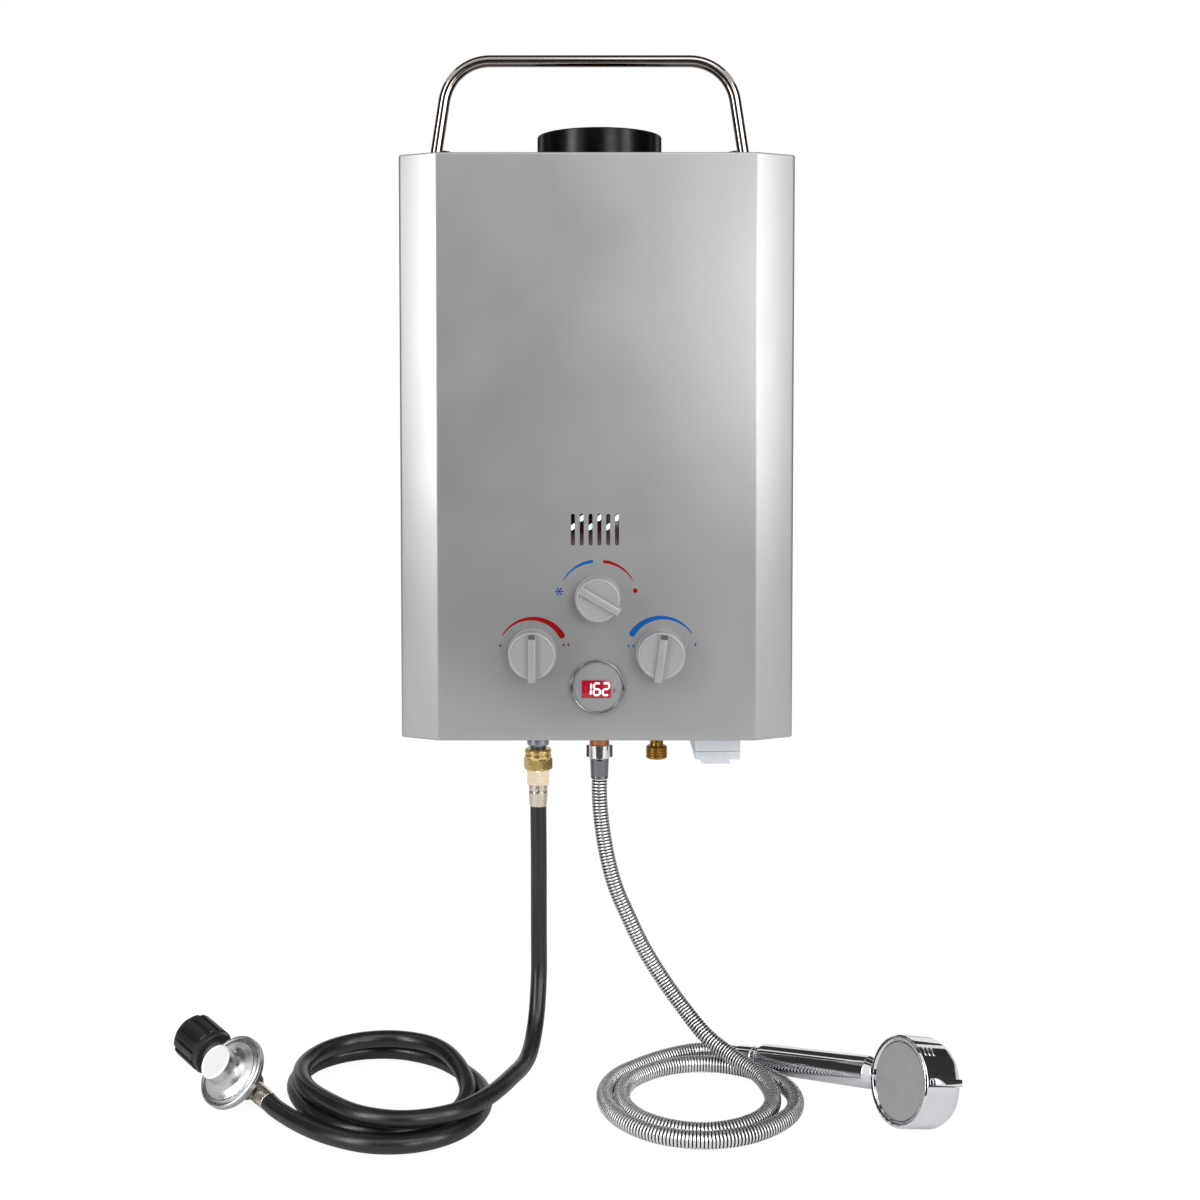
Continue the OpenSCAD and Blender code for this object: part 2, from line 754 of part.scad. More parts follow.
module battery_box() {
    x0 = box_x - box_w / 2;
    x1 = box_x + box_w / 2;
    color("whitesmoke") difference() {
        union() {
            block(x0, x1, box_y0, box_y1, lid_split, box_top);
            block(x0 - 3, x1 + 3, box_y0 - 3, box_y1 + 3, bottom_z - 1.6, bottom_z);
            for (x = [x0 + 2, x1 - 5]) {
                block(x, x + 3, box_y1 + gap, lid_pin_y + 2, lid_pin_z, lid_split + 4);
                translate([0, lid_pin_y, lid_pin_z]) rod_x(x, x + 3, 2);
                block(x, x + 3, box_y1 - 0.5, box_y1 + 1, lid_split, lid_split + 4);
            }
            translate([0, lid_pin_y, lid_pin_z]) rod_x(x0 + 4, x1 - 4, lid_pin_r);
        }
        block(x0 + box_wall, x1 - box_wall, box_y0 + box_wall, box_y1 - box_wall,
            lid_split - 1, box_top - box_wall);
    }
}

module battery_lid() {
    x0 = box_x - box_w / 2;
    x1 = box_x + box_w / 2;
    color("whitesmoke") difference() {
        union() {
            block(x0, x1, box_y0, box_y1, lid_bottom, lid_split - gap);
            block(x0 + 5 + gap, x1 - 5 - gap, box_y1 - 0.5, lid_pin_y, lid_pin_z - 2,
                lid_split - gap);
            translate([0, lid_pin_y, lid_pin_z]) rod_x(x0 + 5 + gap, x1 - 5 - gap, barrel_r);
            block(x0 + 5, x1 - 8, box_y0, box_y0 + 14, lid_bottom - 3.2, lid_bottom);
        }
        block(x0 + box_wall, x1 - box_wall, box_y0 + box_wall, box_y1 - box_wall,
            lid_bottom + 2, lid_split + 1);
        translate([0, lid_pin_y, lid_pin_z]) rod_x(x0, x1, lid_pin_r + fit);
    }
}

module battery_cells() {
    low = box_top - box_wall - 2 - cell_l;
    color("darkgoldenrod") for (y = [core_y - 17.8, core_y + 17.8]) {
        translate([box_x, y, 0]) {
            rod_z(low, low + cell_l - 1.5, cell_r);
            rod_z(low, low + cell_l, 5);
        }
    }
}

module battery_contacts() {
    color("silver") {
        for (y = [core_y - 17.8, core_y + 17.8]) {
            block(box_x - 6, box_x + 6, y - 6, y + 6, box_top - box_wall - 2,
                box_top - box_wall);
        }
    }
}

module ignition_leads() {
    wire_r = 1.2;
    front_wall = core_y - core_d / 2;
    spark_z = burner_top + 8;
    lead_x = max(igniter_x0 + 4, wrap_x + pipe_r + 2);
    lead_z = igniter_bottom + 30;
    cell_lead_x = igniter_x0 + 18;
    color("red") {
        tube(bent([
            [lead_x, igniter_front, lead_z], [lead_x, front_wall - 15, lead_z],
            [lead_x, front_wall - 15, spark_z], [34, front_wall - 15, spark_z],
            [34, front_wall - 10, spark_z]
        ], 3), wire_r, 6, [0, 0, 1]);
        tube(bent([
            [cell_lead_x, -25, igniter_bottom], [cell_lead_x, -25, box_top - 10],
            [box_x + box_w / 2, -25, box_top - 10]
        ], 3), wire_r, 6);
    }
}

// A round knob on the Y axis with a grip bar across its face
module knob(r, tilt) {
    skirt = 1.2;
    face = knob_back - knob_d;
    difference() {
        union() {
            rod_y(face, knob_back, r - skirt);
            rod_y(knob_back - 5, knob_back, r);
            rotate([0, -tilt, 0]) block(-bar_w / 2, bar_w / 2, face - bar_up, face + 2,
                -r - 1.5, r - 2);
        }
        rod_y(face + 5, knob_back + 1, stem_r);
    }
}

module stem(back) {
    rod_y(knob_back - knob_d + 5, back, stem_r);
}

module flame_knob() {
    color("silver") translate([-knob_x, 0, knob_z]) knob(knob_r, 0);
}

module flame_stem() {
    color("gray") translate([-knob_x, 0, knob_z]) stem(stem_back - 2);
}

module water_knob() {
    color("silver") translate([knob_x, 0, knob_z]) knob(knob_r, water_tilt);
}

module water_stem() {
    color("gray") translate([knob_x, 0, knob_z]) stem(stem_back - 2);
}

module season_knob() {
    color("silver") translate([season_x, 0, season_z]) knob(season_r, season_tilt);
}

module season_stem() {
    color("gray") translate([season_x, 0, season_z]) stem(season_front + season_depth - 5.5);
}

module display_module() {
    color("gray") translate([display_x, 0, display_z]) {
        rod_y(front_y - 1, panel_in + 12, ring_r - ring_w);
        rod_y(panel_in, panel_in + 2, ring_r + 1);
    }
}

module display_bezel() {
    color("gainsboro") translate([display_x, 0, display_z]) difference() {
        rod_y(front_y - 2.6, front_y, ring_r);
        rod_y(front_y - 5, front_y + 1, ring_r - ring_w);
    }
}

module display_lens() {
    z = display_z - window_drop;
    x = display_x + window_x;
    color("darkred") block(x - window_w / 2, x + window_w / 2, front_y - 1.8, front_y - 1,
        z - window_h / 2, z + window_h / 2);
}

module gas_inlet() {
    color("lightsteelblue") translate([gas_x, core_y, 0]) difference() {
        union() {
            rod_z(hex_top - 2, valve_bottom, gas_stub_r);
            rod_z(gas_collar_z, bottom_z, gas_stub_r + 2.1);
        }
        rod_z(hex_top - 3, valve_bottom + 1, gas_stub_r - 2.6);
    }
}

module hose_flare_nut() {
    color("gold") translate([gas_x, core_y, 0]) difference() {
        union() {
            rod_z(hex_top, flare_top, 10.6);
            translate([0, 0, adapter_top]) cylinder(h = hex_top - adapter_top, r = 11.5, $fn = 6);
        }
        rod_z(hex_top - 2, flare_top + 1, gas_stub_r + fit);
        rod_z(adapter_top - 1, flare_top + 1, 5 + fit);
    }
}

module hose_adapter() {
    color("palegoldenrod") translate([gas_x, core_y, 0]) difference() {
        union() {
            translate([0, 0, ferrule_top]) rotate([0, 0, 30])
                cylinder(h = adapter_top - ferrule_top, r = 9.9, $fn = 6);
            rod_z(adapter_top - 1, hex_top - 2, 5);
        }
        rod_z(ferrule_top - 1, hex_top + 1, 3);
    }
}

module ferrule(l, r) {
    difference() {
        union() {
            cylinder(h = l, r = r);
            for (z = [3.4, l - 3.4 - 3]) {
                translate([0, 0, z]) cylinder(h = 3, r = r + 0.35);
            }
        }
        translate([0, 0, -1]) cylinder(h = l + 2, r = 3);
    }
}

module gas_hose_ferrules() {
    r = gas_hose_d / 2 + 0.7;
    color("wheat") {
        translate([gas_x, core_y, gas_path[0][2]]) ferrule(ferrule_top - gas_path[0][2], r);
        gas_end_frame() rotate([0, 90, 0]) ferrule(reg_ferrule_l, r);
    }
}

module gas_hose() {
    color("black") tube(gas_path, gas_hose_d / 2, hose_sides);
}

module regulator_body() {
    color("darkgray") gas_end_frame() {
        difference() {
            union() {
                rod_x(reg_ferrule_l, hand_nut_x - 4, 5);
                rod_x(reg_centre - 15, reg_centre + 17, reg_block_r);
                rod_x(hand_nut_x - 4, hand_nut_x + 4, 11);
                rod_x(hand_nut_x + 4, hand_nut_x + 9, 7);
                translate([reg_centre, 0, 0]) rod_z(0, reg_rim - 1.5, 18);
                translate([reg_centre, 0, 0]) rod_z(reg_rim - 4.5, reg_rim, dome_r);
            }
            rod_x(reg_ferrule_l - 1, hand_nut_x + 10, 2.5);
        }
    }
}

module regulator_bell() {
    color("silver") gas_end_frame() translate([reg_centre, 0, reg_rim]) difference() {
        rotate_extrude() polygon([
            [0, 0], [dome_r - 0.8, 0], [dome_r - 0.8, 1.6], [dome_r - 3, 3],
            [bell_r + 10, 5], [bell_r + 4, 7], [bell_r, 10.5], [bell_r, bell_up - reg_rim],
            [0, bell_up - reg_rim]
        ]);
        translate([0, 0, -1]) cylinder(h = 10, r = bell_r - 3);
    }
}

module regulator_nut() {
    ribs = 18;
    far = hand_nut_x + hand_nut_l;
    color("black") gas_end_frame() difference() {
        union() {
            rod_x(hand_nut_x, far, hand_nut_r - 1.4);
            for (i = [0:ribs - 1]) {
                rotate([i * 360 / ribs, 0, 0]) block(hand_nut_x + 4, far - 2,
                    hand_nut_r - 3, hand_nut_r, -1.7, 1.7);
            }
        }
        rod_x(hand_nut_x + 9, far + 1, socket_r);
        rod_x(hand_nut_x - 1, hand_nut_x + 4 + fit, 11 + fit);
        rod_x(hand_nut_x - 1, far, 7 + fit);
    }
}

module water_outlet() {
    color("chocolate") translate([outlet_x, core_y, 0]) difference() {
        union() {
            rod_z(outlet_collar_z - 8, bottom_z + 2, outlet_r);
            rod_z(outlet_collar_z, bottom_z, outlet_r + 1.3);
        }
        rod_z(outlet_collar_z - 9, bottom_z + 3, outlet_r - 2);
    }
}

module shower_hose_nut() {
    lugs = 4;
    color("gainsboro") translate([outlet_x, core_y, 0]) difference() {
        union() {
            rod_z(sleeve_top, outlet_collar_z, 8.3);
            for (i = [0:lugs - 1]) {
                rotate([0, 0, i * 360 / lugs])
                    block(7, 10.4, -1.3, 1.3, sleeve_top + 0.8, outlet_collar_z - 0.4);
            }
        }
        rod_z(sleeve_top + 3, outlet_collar_z + 1, outlet_r + fit);
        rod_z(sleeve_top - 1, outlet_collar_z + 1, 5 + fit);
    }
}

module shower_hose_sleeve() {
    low = shower_path[0][2];
    color("gainsboro") translate([outlet_x, core_y, 0]) difference() {
        union() {
            translate([0, 0, low]) cylinder(h = sleeve_top - low, r1 = 6.9, r2 = 7.5);
            rod_z(sleeve_top, sleeve_top + 3, 5);
        }
        rod_z(low - 1, sleeve_top + 4, 3.5);
    }
}

module shower_hose() {
    color("lightgray") tube(shower_path, shower_hose_d / 2, hose_sides);
}

module shower_end_nut() {
    color("gainsboro") grip_frame() difference() {
        rod_x(0, end_nut_l, end_nut_r);
        rod_x(-1, end_nut_l + 1, 3.5);
    }
}

module shower_handle() {
    color("gainsboro") difference() {
        grip_frame() difference() {
            translate([end_nut_l, 0, 0]) rotate([0, 90, 0])
                cylinder(h = grip_l, r1 = grip_r1, r2 = grip_r2);
            translate([end_nut_l + 8, 0, 0]) rotate([0, 90, 0])
                cylinder(h = grip_l, r1 = grip_r1 - grip_wall, r2 = grip_r2 - grip_wall);
            rod_x(end_nut_l - 1, end_nut_l + 9, 5);
        }
        head_frame() rod_z(-head_d, head_d, head_r);
    }
}

module shower_head() {
    back_round = 7;
    color("gainsboro") difference() {
        head_frame() difference() {
            rotate_extrude() union() {
                polygon([
                    [0, -face_z], [head_r - back_round, -face_z], [head_r, back_round - face_z],
                    [head_r, face_z], [0, face_z]
                ]);
                translate([head_r - back_round, back_round - face_z]) circle(r = back_round);
            }
            rotate_extrude() polygon([
                [0, head_wall - face_z], [head_r - back_round, head_wall - face_z],
                [head_r - head_wall, back_round - face_z], [head_r - head_wall, face_z + 1],
                [0, face_z + 1]
            ]);
            rotate([0, 0, lever_angle - lever_sweep - 5])
                rotate_extrude(angle = 2 * lever_sweep + 10)
                translate([head_r - head_wall - 1, -lever_w / 2 - gap])
                square([head_wall + 2, lever_w + 2 * gap]);
        }
        grip_frame() rod_x(0, end_nut_l + grip_l, 5);
    }
}

module shower_face() {
    color("gray") head_frame() difference() {
        union() {
            rod_z(face_z - 4, face_z - 0.8, head_r - head_wall - fit);
            rod_z(head_wall - face_z, face_z - 4, 4);
        }
        for (ring = [1:4], i = [0:ring * 6 - 1]) {
            rotate([0, 0, i * 60 / ring]) translate([ring * 6.6, 0, 0])
                rod_z(face_z - 5, face_z, 0.6);
        }
    }
}

module shower_lever() {
    outer = head_r - head_wall - gap;
    color("gainsboro") head_frame() {
        difference() {
            rod_z(-1.5, 1.5, outer);
            rod_z(-2, 2, outer - 4);
        }
        rotate([0, 0, lever_angle]) {
            block(outer - 2, head_r + 1, -2, 2, -lever_w / 2, lever_w / 2);
            block(head_r + gap, head_r + 3, -2.4, 2.4, -face_z + 6, face_z - 6);
        }
    }
}

module water_inlet() {
    stem_top = valve_bottom;
    color("darkgoldenrod") translate([inlet_x, core_y, 0]) difference() {
        union() {
            rod_z(bottom_z - 27, stem_top, inlet_bore + 1.6);
            for (i = [0:4]) {
                rod_z(bottom_z - 27 + i * 2, bottom_z - 25.8 + i * 2, 8.3);
            }
            rod_z(bottom_z - 27, bottom_z - 17, 7.7);
        }
        rod_z(bottom_z - 28, bottom_z - 27 + inlet_socket_l, inlet_socket_r);
        rod_z(bottom_z - 28, stem_top + 1, inlet_bore);
    }
}

front_cover();
back_panel();
top_plate();
bottom_plate();
cover_screws();
flue_collar();
flue_hood();
handle();
handle_brackets();
exchanger_shell();
exchanger_fins();
exchanger_coil();
burner_frame();
burner_bars();
gas_manifold();
electrodes();
thermal_sensors();
gas_valve_body();
gas_solenoid();
gas_pipe();
water_valve_body();
valve_cover();
push_rod();
micro_switch();
season_valve();
cold_pipe();
hot_pipe();
igniter_box();
battery_box();
battery_lid();
battery_cells();
battery_contacts();
ignition_leads();
flame_knob();
flame_stem();
water_knob();
water_stem();
season_knob();
season_stem();
display_module();
display_bezel();
display_lens();
gas_inlet();
hose_flare_nut();
hose_adapter();
gas_hose_ferrules();
gas_hose();
regulator_body();
regulator_bell();
regulator_nut();
water_outlet();
shower_hose_nut();
shower_hose_sleeve();
shower_hose();
shower_end_nut();
shower_handle();
shower_head();
shower_face();
shower_lever();
water_inlet();
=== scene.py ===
import bpy, bmesh
from math import sin, cos, tan, pi, radians, sqrt
from mathutils import Matrix, Vector


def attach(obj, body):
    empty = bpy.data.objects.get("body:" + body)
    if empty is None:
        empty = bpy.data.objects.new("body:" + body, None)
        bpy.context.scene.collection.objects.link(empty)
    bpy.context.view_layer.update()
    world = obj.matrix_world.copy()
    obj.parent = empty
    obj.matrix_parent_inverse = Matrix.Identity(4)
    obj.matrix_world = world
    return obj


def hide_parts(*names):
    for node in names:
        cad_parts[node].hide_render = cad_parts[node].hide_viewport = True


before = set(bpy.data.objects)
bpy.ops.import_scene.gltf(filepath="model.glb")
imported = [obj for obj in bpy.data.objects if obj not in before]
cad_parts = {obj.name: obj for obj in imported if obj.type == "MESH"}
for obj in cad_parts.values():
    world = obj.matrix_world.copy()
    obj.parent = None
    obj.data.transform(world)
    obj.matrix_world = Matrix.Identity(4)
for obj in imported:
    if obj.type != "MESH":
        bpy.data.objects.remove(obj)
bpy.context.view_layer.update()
mm = 0.001
print("frame loaded")

# camera, set to the photograph
camera = {"place": (0.0024, -1.310, -0.1668), "down": 2.6, "lens": 48, "film": 36, "shiftUp": -0.095}

eyeData = bpy.data.cameras.new("eye")
eyeData.lens = camera["lens"]
eyeData.sensor_width = camera["film"]
eyeData.shift_y = camera["shiftUp"]
eye = bpy.data.objects.new("eye", eyeData)
eye.location = camera["place"]
eye.rotation_euler = (radians(90 - camera["down"]), 0, 0)
bpy.context.collection.objects.link(eye)
bpy.context.scene.camera = eye
bpy.context.scene.view_settings.view_transform = "Standard"
print("camera placed")


# small helpers
def rgb(r, g, b):  # screen colour to the value a shader takes
    return tuple((c / 255 / 12.92) if c < 11 else ((c / 255 + 0.055) / 1.055) ** 2.4 for c in (r, g, b))


def put(x, y, z):  # a move, in mm
    return Matrix.Translation(Vector((x, y, z)) * mm)


def turned(angle, axis):  # a turn, in degrees
    return Matrix.Rotation(radians(angle), 4, axis)


def coat(node, look):  # the finish of a CAD shape that stays as it is
    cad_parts[node].data.materials[0] = look


def keep(name, bm, look, body="heater", standsFor=(), edge=32):  # sharper edges stay crisp, in degrees
    bmesh.ops.remove_doubles(bm, verts=bm.verts, dist=2e-7)
    bmesh.ops.recalc_face_normals(bm, faces=bm.faces)
    mesh = bpy.data.meshes.new(name)
    bm.to_mesh(mesh)
    bm.free()
    mesh.polygons.foreach_set("use_smooth", [True] * len(mesh.polygons))
    mesh.set_sharp_from_angle(angle=radians(edge))
    for one in look if isinstance(look, (list, tuple)) else [look]:
        mesh.materials.append(one)
    piece = bpy.data.objects.new(name, mesh)
    bpy.context.collection.objects.link(piece)
    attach(piece, body)
    if standsFor:
        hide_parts(*standsFor)
    return piece


def fillet(corners, steps=4, closed=False):  # corners are (x, y) or (x, y, radius)
    line = []
    for i, corner in enumerate(corners):
        here = Vector(corner[:2])
        if len(corner) < 3 or (not closed and i in (0, len(corners) - 1)):
            line.append(here)
            continue
        a = Vector(corners[i - 1][:2]) - here
        b = Vector(corners[(i + 1) % len(corners)][:2]) - here
        reach = min(corner[2] / tan(a.angle(b) / 2), a.length * 0.49, b.length * 0.49)
        a, b = here + a.normalized() * reach, here + b.normalized() * reach
        for k in range(steps + 1):
            t = k / steps
            line.append(a * (1 - t) ** 2 + here * 2 * t * (1 - t) + b * t * t)
    return line


def lathe(bm, corners, turns, closed=False, place=Matrix(), steps=4):  # (radius, height) round local Z
    line = fillet(corners, steps, closed)
    made = [bm.verts.new((max(p.x, 0) * mm, 0, p.y * mm)) for p in line]
    edges = [bm.edges.new(pair) for pair in zip(made, made[1:])]
    if closed:
        edges.append(bm.edges.new((made[-1], made[0])))
    before = set(bm.verts) - set(made)
    bmesh.ops.spin(bm, geom=made + edges, cent=(0, 0, 0), axis=(0, 0, 1), angle=2 * pi, steps=turns,
                   use_merge=True)
    bmesh.ops.transform(bm, matrix=place, verts=[v for v in bm.verts if v not in before])


def block(bm, low, high, edge, place=Matrix()):  # two corners and the rounding of the edges, in mm
    low, high = Vector(low) * mm, Vector(high) * mm
    shape = Matrix.Translation((low + high) / 2) @ Matrix.Diagonal((*(high - low), 1))
    made = bmesh.ops.create_cube(bm, size=1, matrix=shape)["verts"]
    sides = list(dict.fromkeys(e for v in made for e in v.link_edges))
    made = bmesh.ops.bevel(bm, geom=sides, offset=edge * mm, segments=2, profile=0.5, affect="EDGES")["verts"]
    bmesh.ops.transform(bm, matrix=place, verts=list(dict.fromkeys(made)))


def skin(bm, rings, closed=True):  # faces between rings of points; an open stack gets end faces
    for a, b in zip(rings, rings[1:] + (rings[:1] if closed else [])):
        for k in range(len(a)):
            j = (k + 1) % len(a)
            bm.faces.new((a[k], a[j], b[j], b[k]))
    if not closed:
        bm.faces.new(rings[0][::-1])
        bm.faces.new(rings[-1])


def hoop(bm, radii, z, place=Matrix()):  # a ring of points round local Z, with a radius in mm for each
    made = []
    for k, r in enumerate(radii):
        turn = 2 * pi * k / len(radii)
        made.append(bm.verts.new(place @ Vector((r * cos(turn) * mm, r * sin(turn) * mm, z * mm))))
    return made


def prism(bm, outline, low, high, place=Matrix()):  # outline of (x, y) in mm, pushed along local Z
    ends = [[bm.verts.new(place @ Vector((x * mm, y * mm, z * mm))) for x, y in outline] for z in (low, high)]
    skin(bm, ends, False)


def along(points, step):  # a smooth line through the points, evenly spaced, and its length
    pts = [Vector(p) for p in points]
    pts = [pts[0] * 2 - pts[1]] + pts + [pts[-1] * 2 - pts[-2]]
    fine = []
    for a, b, c, d in zip(pts, pts[1:], pts[2:], pts[3:]):
        for k in range(12):
            t = k / 12
            bend = (2 * a - 5 * b + 4 * c - d) * t * t + (3 * b - a - 3 * c + d) * t ** 3
            fine.append(0.5 * (2 * b + (c - a) * t + bend))
    fine.append(pts[-2])
    run = [0]
    for a, b in zip(fine, fine[1:]):
        run.append(run[-1] + (b - a).length)
    count = max(2, round(run[-1] / step))
    line, at = [], 0
    for k in range(count + 1):
        want = run[-1] * k / count
        while at < len(run) - 2 and run[at + 1] < want:
            at += 1
        line.append(fine[at].lerp(fine[at + 1], (want - run[at]) / (run[at + 1] - run[at])))
    return line, run[-1]


def sweep(bm, line, radius, sides):  # a closed tube; radius in mm, or a list of them
    normal = Vector((1, 0, 0))
    turns = [2 * pi * k / sides for k in range(sides)]
    rings = []
    for i, point in enumerate(line):
        way = (line[min(i + 1, len(line) - 1)] - line[max(i - 1, 0)]).normalized()
        normal = (normal - way * normal.dot(way)).normalized()
        side = way.cross(normal)
        r = radius[i] if isinstance(radius, list) else radius
        spokes = [cos(turn) * normal + sin(turn) * side for turn in turns]
        rings.append([bm.verts.new((point + r * spoke) * mm) for spoke in spokes])
    skin(bm, rings, False)


def hexBody(bm, flats, low, high, bore, place, chamfer, turns=96):  # six flats with turned corners
    rings = []
    for z in (low, low + 0.3, low + 0.7, low + 1.3, high - 1.3, high - 0.7, high - 0.3, high):
        cut = chamfer + min(z - low, high - z) * 1.7
        radii = [min(flats / 2 / cos((2 * pi * k / turns) % (pi / 3) - pi / 6), cut) for k in range(turns)]
        rings.append(hoop(bm, radii, z, place))
    rings += [hoop(bm, [bore] * turns, z, place) for z in (high, low)]
    skin(bm, rings)


def eased(node, name, look, width, body="heater"):  # a CAD shape with its sharp edges rounded
    bm = bmesh.new()
    bm.from_mesh(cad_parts[node].data)
    bm.transform(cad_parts[node].matrix_world)
    bmesh.ops.remove_doubles(bm, verts=bm.verts, dist=1e-6)
    bmesh.ops.dissolve_limit(bm, angle_limit=radians(0.5), verts=bm.verts, edges=bm.edges)
    edges = [e for e in bm.edges if len(e.link_faces) == 2 and e.calc_face_angle(0) > radians(40)]
    bmesh.ops.bevel(bm, geom=edges, offset=width * mm, segments=2, profile=0.5, affect="EDGES",
                    clamp_overlap=True)
    keep(name, bm, look, body, (node,))


# finishes
def finish(name, colour, metal, rough, **more):  # more sockets of the shader, with _ for a space
    look = bpy.data.materials.new(name)
    look.use_nodes = True
    shader = look.node_tree.nodes["Principled BSDF"]
    shader.inputs["Base Color"].default_value = (*colour, 1)
    shader.inputs["Metallic"].default_value = metal
    shader.inputs["Roughness"].default_value = rough
    for key, value in more.items():
        shader.inputs[key.replace("_", " ")].default_value = value
    return look, shader


def grain(look, size, detail=4.0):  # noise in object space, size in mm
    nodes, links = look.node_tree.nodes, look.node_tree.links
    noise = nodes.new("ShaderNodeTexNoise")
    noise.inputs["Scale"].default_value = 1000 / size
    noise.inputs["Detail"].default_value = detail
    links.new(nodes.new("ShaderNodeTexCoord").outputs["Object"], noise.inputs["Vector"])
    return noise.outputs["Fac"]


def spread(look, source, socket, low, high, fromLow=0.3, fromHigh=0.7):  # a number that varies between two
    node = look.node_tree.nodes.new("ShaderNodeMapRange")
    for key, value in (("From Min", fromLow), ("From Max", fromHigh), ("To Min", low), ("To Max", high)):
        node.inputs[key].default_value = value
    look.node_tree.links.new(source, node.inputs["Value"])
    look.node_tree.links.new(node.outputs["Result"], socket)


def shades(look, source, socket, *stops):  # a colour ramp
    node = look.node_tree.nodes.new("ShaderNodeValToRGB")
    ramp = node.color_ramp
    while len(ramp.elements) < len(stops):
        ramp.elements.new(0.5)
    for element, (where, colour) in zip(ramp.elements, stops):
        element.position = where
        element.color = (*colour, 1)
    look.node_tree.links.new(source, node.inputs["Fac"])
    look.node_tree.links.new(node.outputs["Color"], socket)


def relief(look, shader, source, depth, strength):  # a bump, on top of any that is there; depth in mm
    node = look.node_tree.nodes.new("ShaderNodeBump")
    node.inputs["Strength"].default_value = strength
    node.inputs["Distance"].default_value = depth * mm
    look.node_tree.links.new(source, node.inputs["Height"])
    if shader.inputs["Normal"].links:
        look.node_tree.links.new(shader.inputs["Normal"].links[0].from_socket, node.inputs["Normal"])
    look.node_tree.links.new(node.outputs["Normal"], shader.inputs["Normal"])


def metalFinish(name, colour, rough, size=3.0, dark=0.82, depth=0.01):  # worn in patches of this size, in mm
    look, shader = finish(name, colour, 1.0, rough)
    worn = grain(look, size)
    shades(look, worn, shader.inputs["Base Color"], (0.3, tuple(c * dark for c in colour)), (0.7, colour))
    spread(look, worn, shader.inputs["Roughness"], rough * 0.8, rough * 1.25)
    relief(look, shader, grain(look, size / 6), depth, 0.35)
    return look


def plasticFinish(name, colour, rough, size=0.5, depth=0.02, light=1.15, **more):  # fine moulded grain
    look, shader = finish(name, colour, 0.0, rough, **more)
    pale = tuple(min(1, c * light) for c in colour)
    shades(look, grain(look, 12), shader.inputs["Base Color"], (0.3, colour), (0.7, pale))
    spread(look, grain(look, 5), shader.inputs["Roughness"], rough * 0.85, rough * 1.15)
    relief(look, shader, grain(look, size, 2), depth, 0.4)
    return look


def satinPaint(name, colour, rough, metal):  # silver paint with fine flake and an even orange peel
    look, shader = finish(name, colour, metal, rough)
    flake = grain(look, 0.35, 1)
    dark, pale = (tuple(c * share for c in colour) for share in (0.93, 1.06))
    shades(look, flake, shader.inputs["Base Color"], (0.35, dark), (0.65, pale))
    spread(look, grain(look, 60), shader.inputs["Roughness"], rough * 0.93, rough * 1.07)
    relief(look, shader, flake, 0.006, 0.3)
    relief(look, shader, grain(look, 2.2, 1), 0.01, 0.25)
    return look


def zincSheet(name):  # galvanised sheet with its spangle
    look, shader = finish(name, rgb(176, 180, 182), 1.0, 0.38)
    nodes, links = look.node_tree.nodes, look.node_tree.links
    cells = nodes.new("ShaderNodeTexVoronoi")
    cells.inputs["Scale"].default_value = 110
    links.new(nodes.new("ShaderNodeTexCoord").outputs["Object"], cells.inputs["Vector"])
    spangle = ((0.2, rgb(156, 161, 165)), (0.8, rgb(190, 193, 195)))
    shades(look, cells.outputs["Color"], shader.inputs["Base Color"], *spangle)
    spread(look, cells.outputs["Distance"], shader.inputs["Roughness"], 0.3, 0.46, 0.0, 0.8)
    relief(look, shader, cells.outputs["Distance"], 0.01, 0.2)
    return look


casePaint = satinPaint("casePaint", rgb(173, 173, 174), 0.36, 0.72)
knobPaint = satinPaint("knobPaint", rgb(160, 160, 161), 0.4, 0.35)
stickerSilver = satinPaint("stickerSilver", rgb(156, 156, 157), 0.36, 0.45)
zinc = zincSheet("zinc")
blackEnamel = plasticFinish("blackEnamel", rgb(4, 4, 5), 0.24, 4, 0.02, 1.3, Specular_IOR_Level=0.22)
handleSteel = metalFinish("handleSteel", rgb(172, 164, 158), 0.09, 14, dark=0.9, depth=0.002)
chrome = metalFinish("chrome", rgb(222, 223, 226), 0.05, 30, dark=0.97, depth=0.001)
ringChrome = metalFinish("ringChrome", rgb(172, 172, 175), 0.08, 12, dark=0.7, depth=0.002)
darkChrome = metalFinish("darkChrome", rgb(120, 121, 124), 0.1, 20, dark=0.92, depth=0.002)
hoseChrome = metalFinish("hoseChrome", rgb(236, 236, 238), 0.3, 1.4, dark=0.9)
# darker steel for the hose grooves: painted shade
hoseGrooveShade = metalFinish("hoseGrooveShade", rgb(72, 72, 74), 0.4, 1.0, dark=0.6)
plated = metalFinish("plated", rgb(168, 170, 180), 0.28, 2.0)
castZinc = metalFinish("castZinc", rgb(178, 179, 180), 0.36, 1.8, depth=0.05)
domeZinc = metalFinish("domeZinc", rgb(206, 207, 208), 0.3, 4.0, dark=0.84, depth=0.12)
capZinc = satinPaint("capZinc", rgb(250, 250, 250), 0.4, 0.25)
paleBrass = metalFinish("paleBrass", rgb(236, 220, 192), 0.26, 2.5, dark=0.9)
goldBrass = metalFinish("goldBrass", rgb(232, 202, 132), 0.24, 2.5, dark=0.88)
oldBrass = metalFinish("oldBrass", rgb(176, 132, 60), 0.3, 1.6, dark=0.7, depth=0.03)
copper = metalFinish("copper", rgb(196, 122, 84), 0.3, 4.0, dark=0.75)
burnerSteel = metalFinish("burnerSteel", rgb(112, 104, 98), 0.4, 3.0, dark=0.6)
ferruleSteel = metalFinish("ferruleSteel", rgb(222, 212, 198), 0.24, 2.0, dark=0.88)
hoseRubber = plasticFinish("hoseRubber", rgb(24, 24, 25), 0.3, 0.7, 0.012, 1.4)
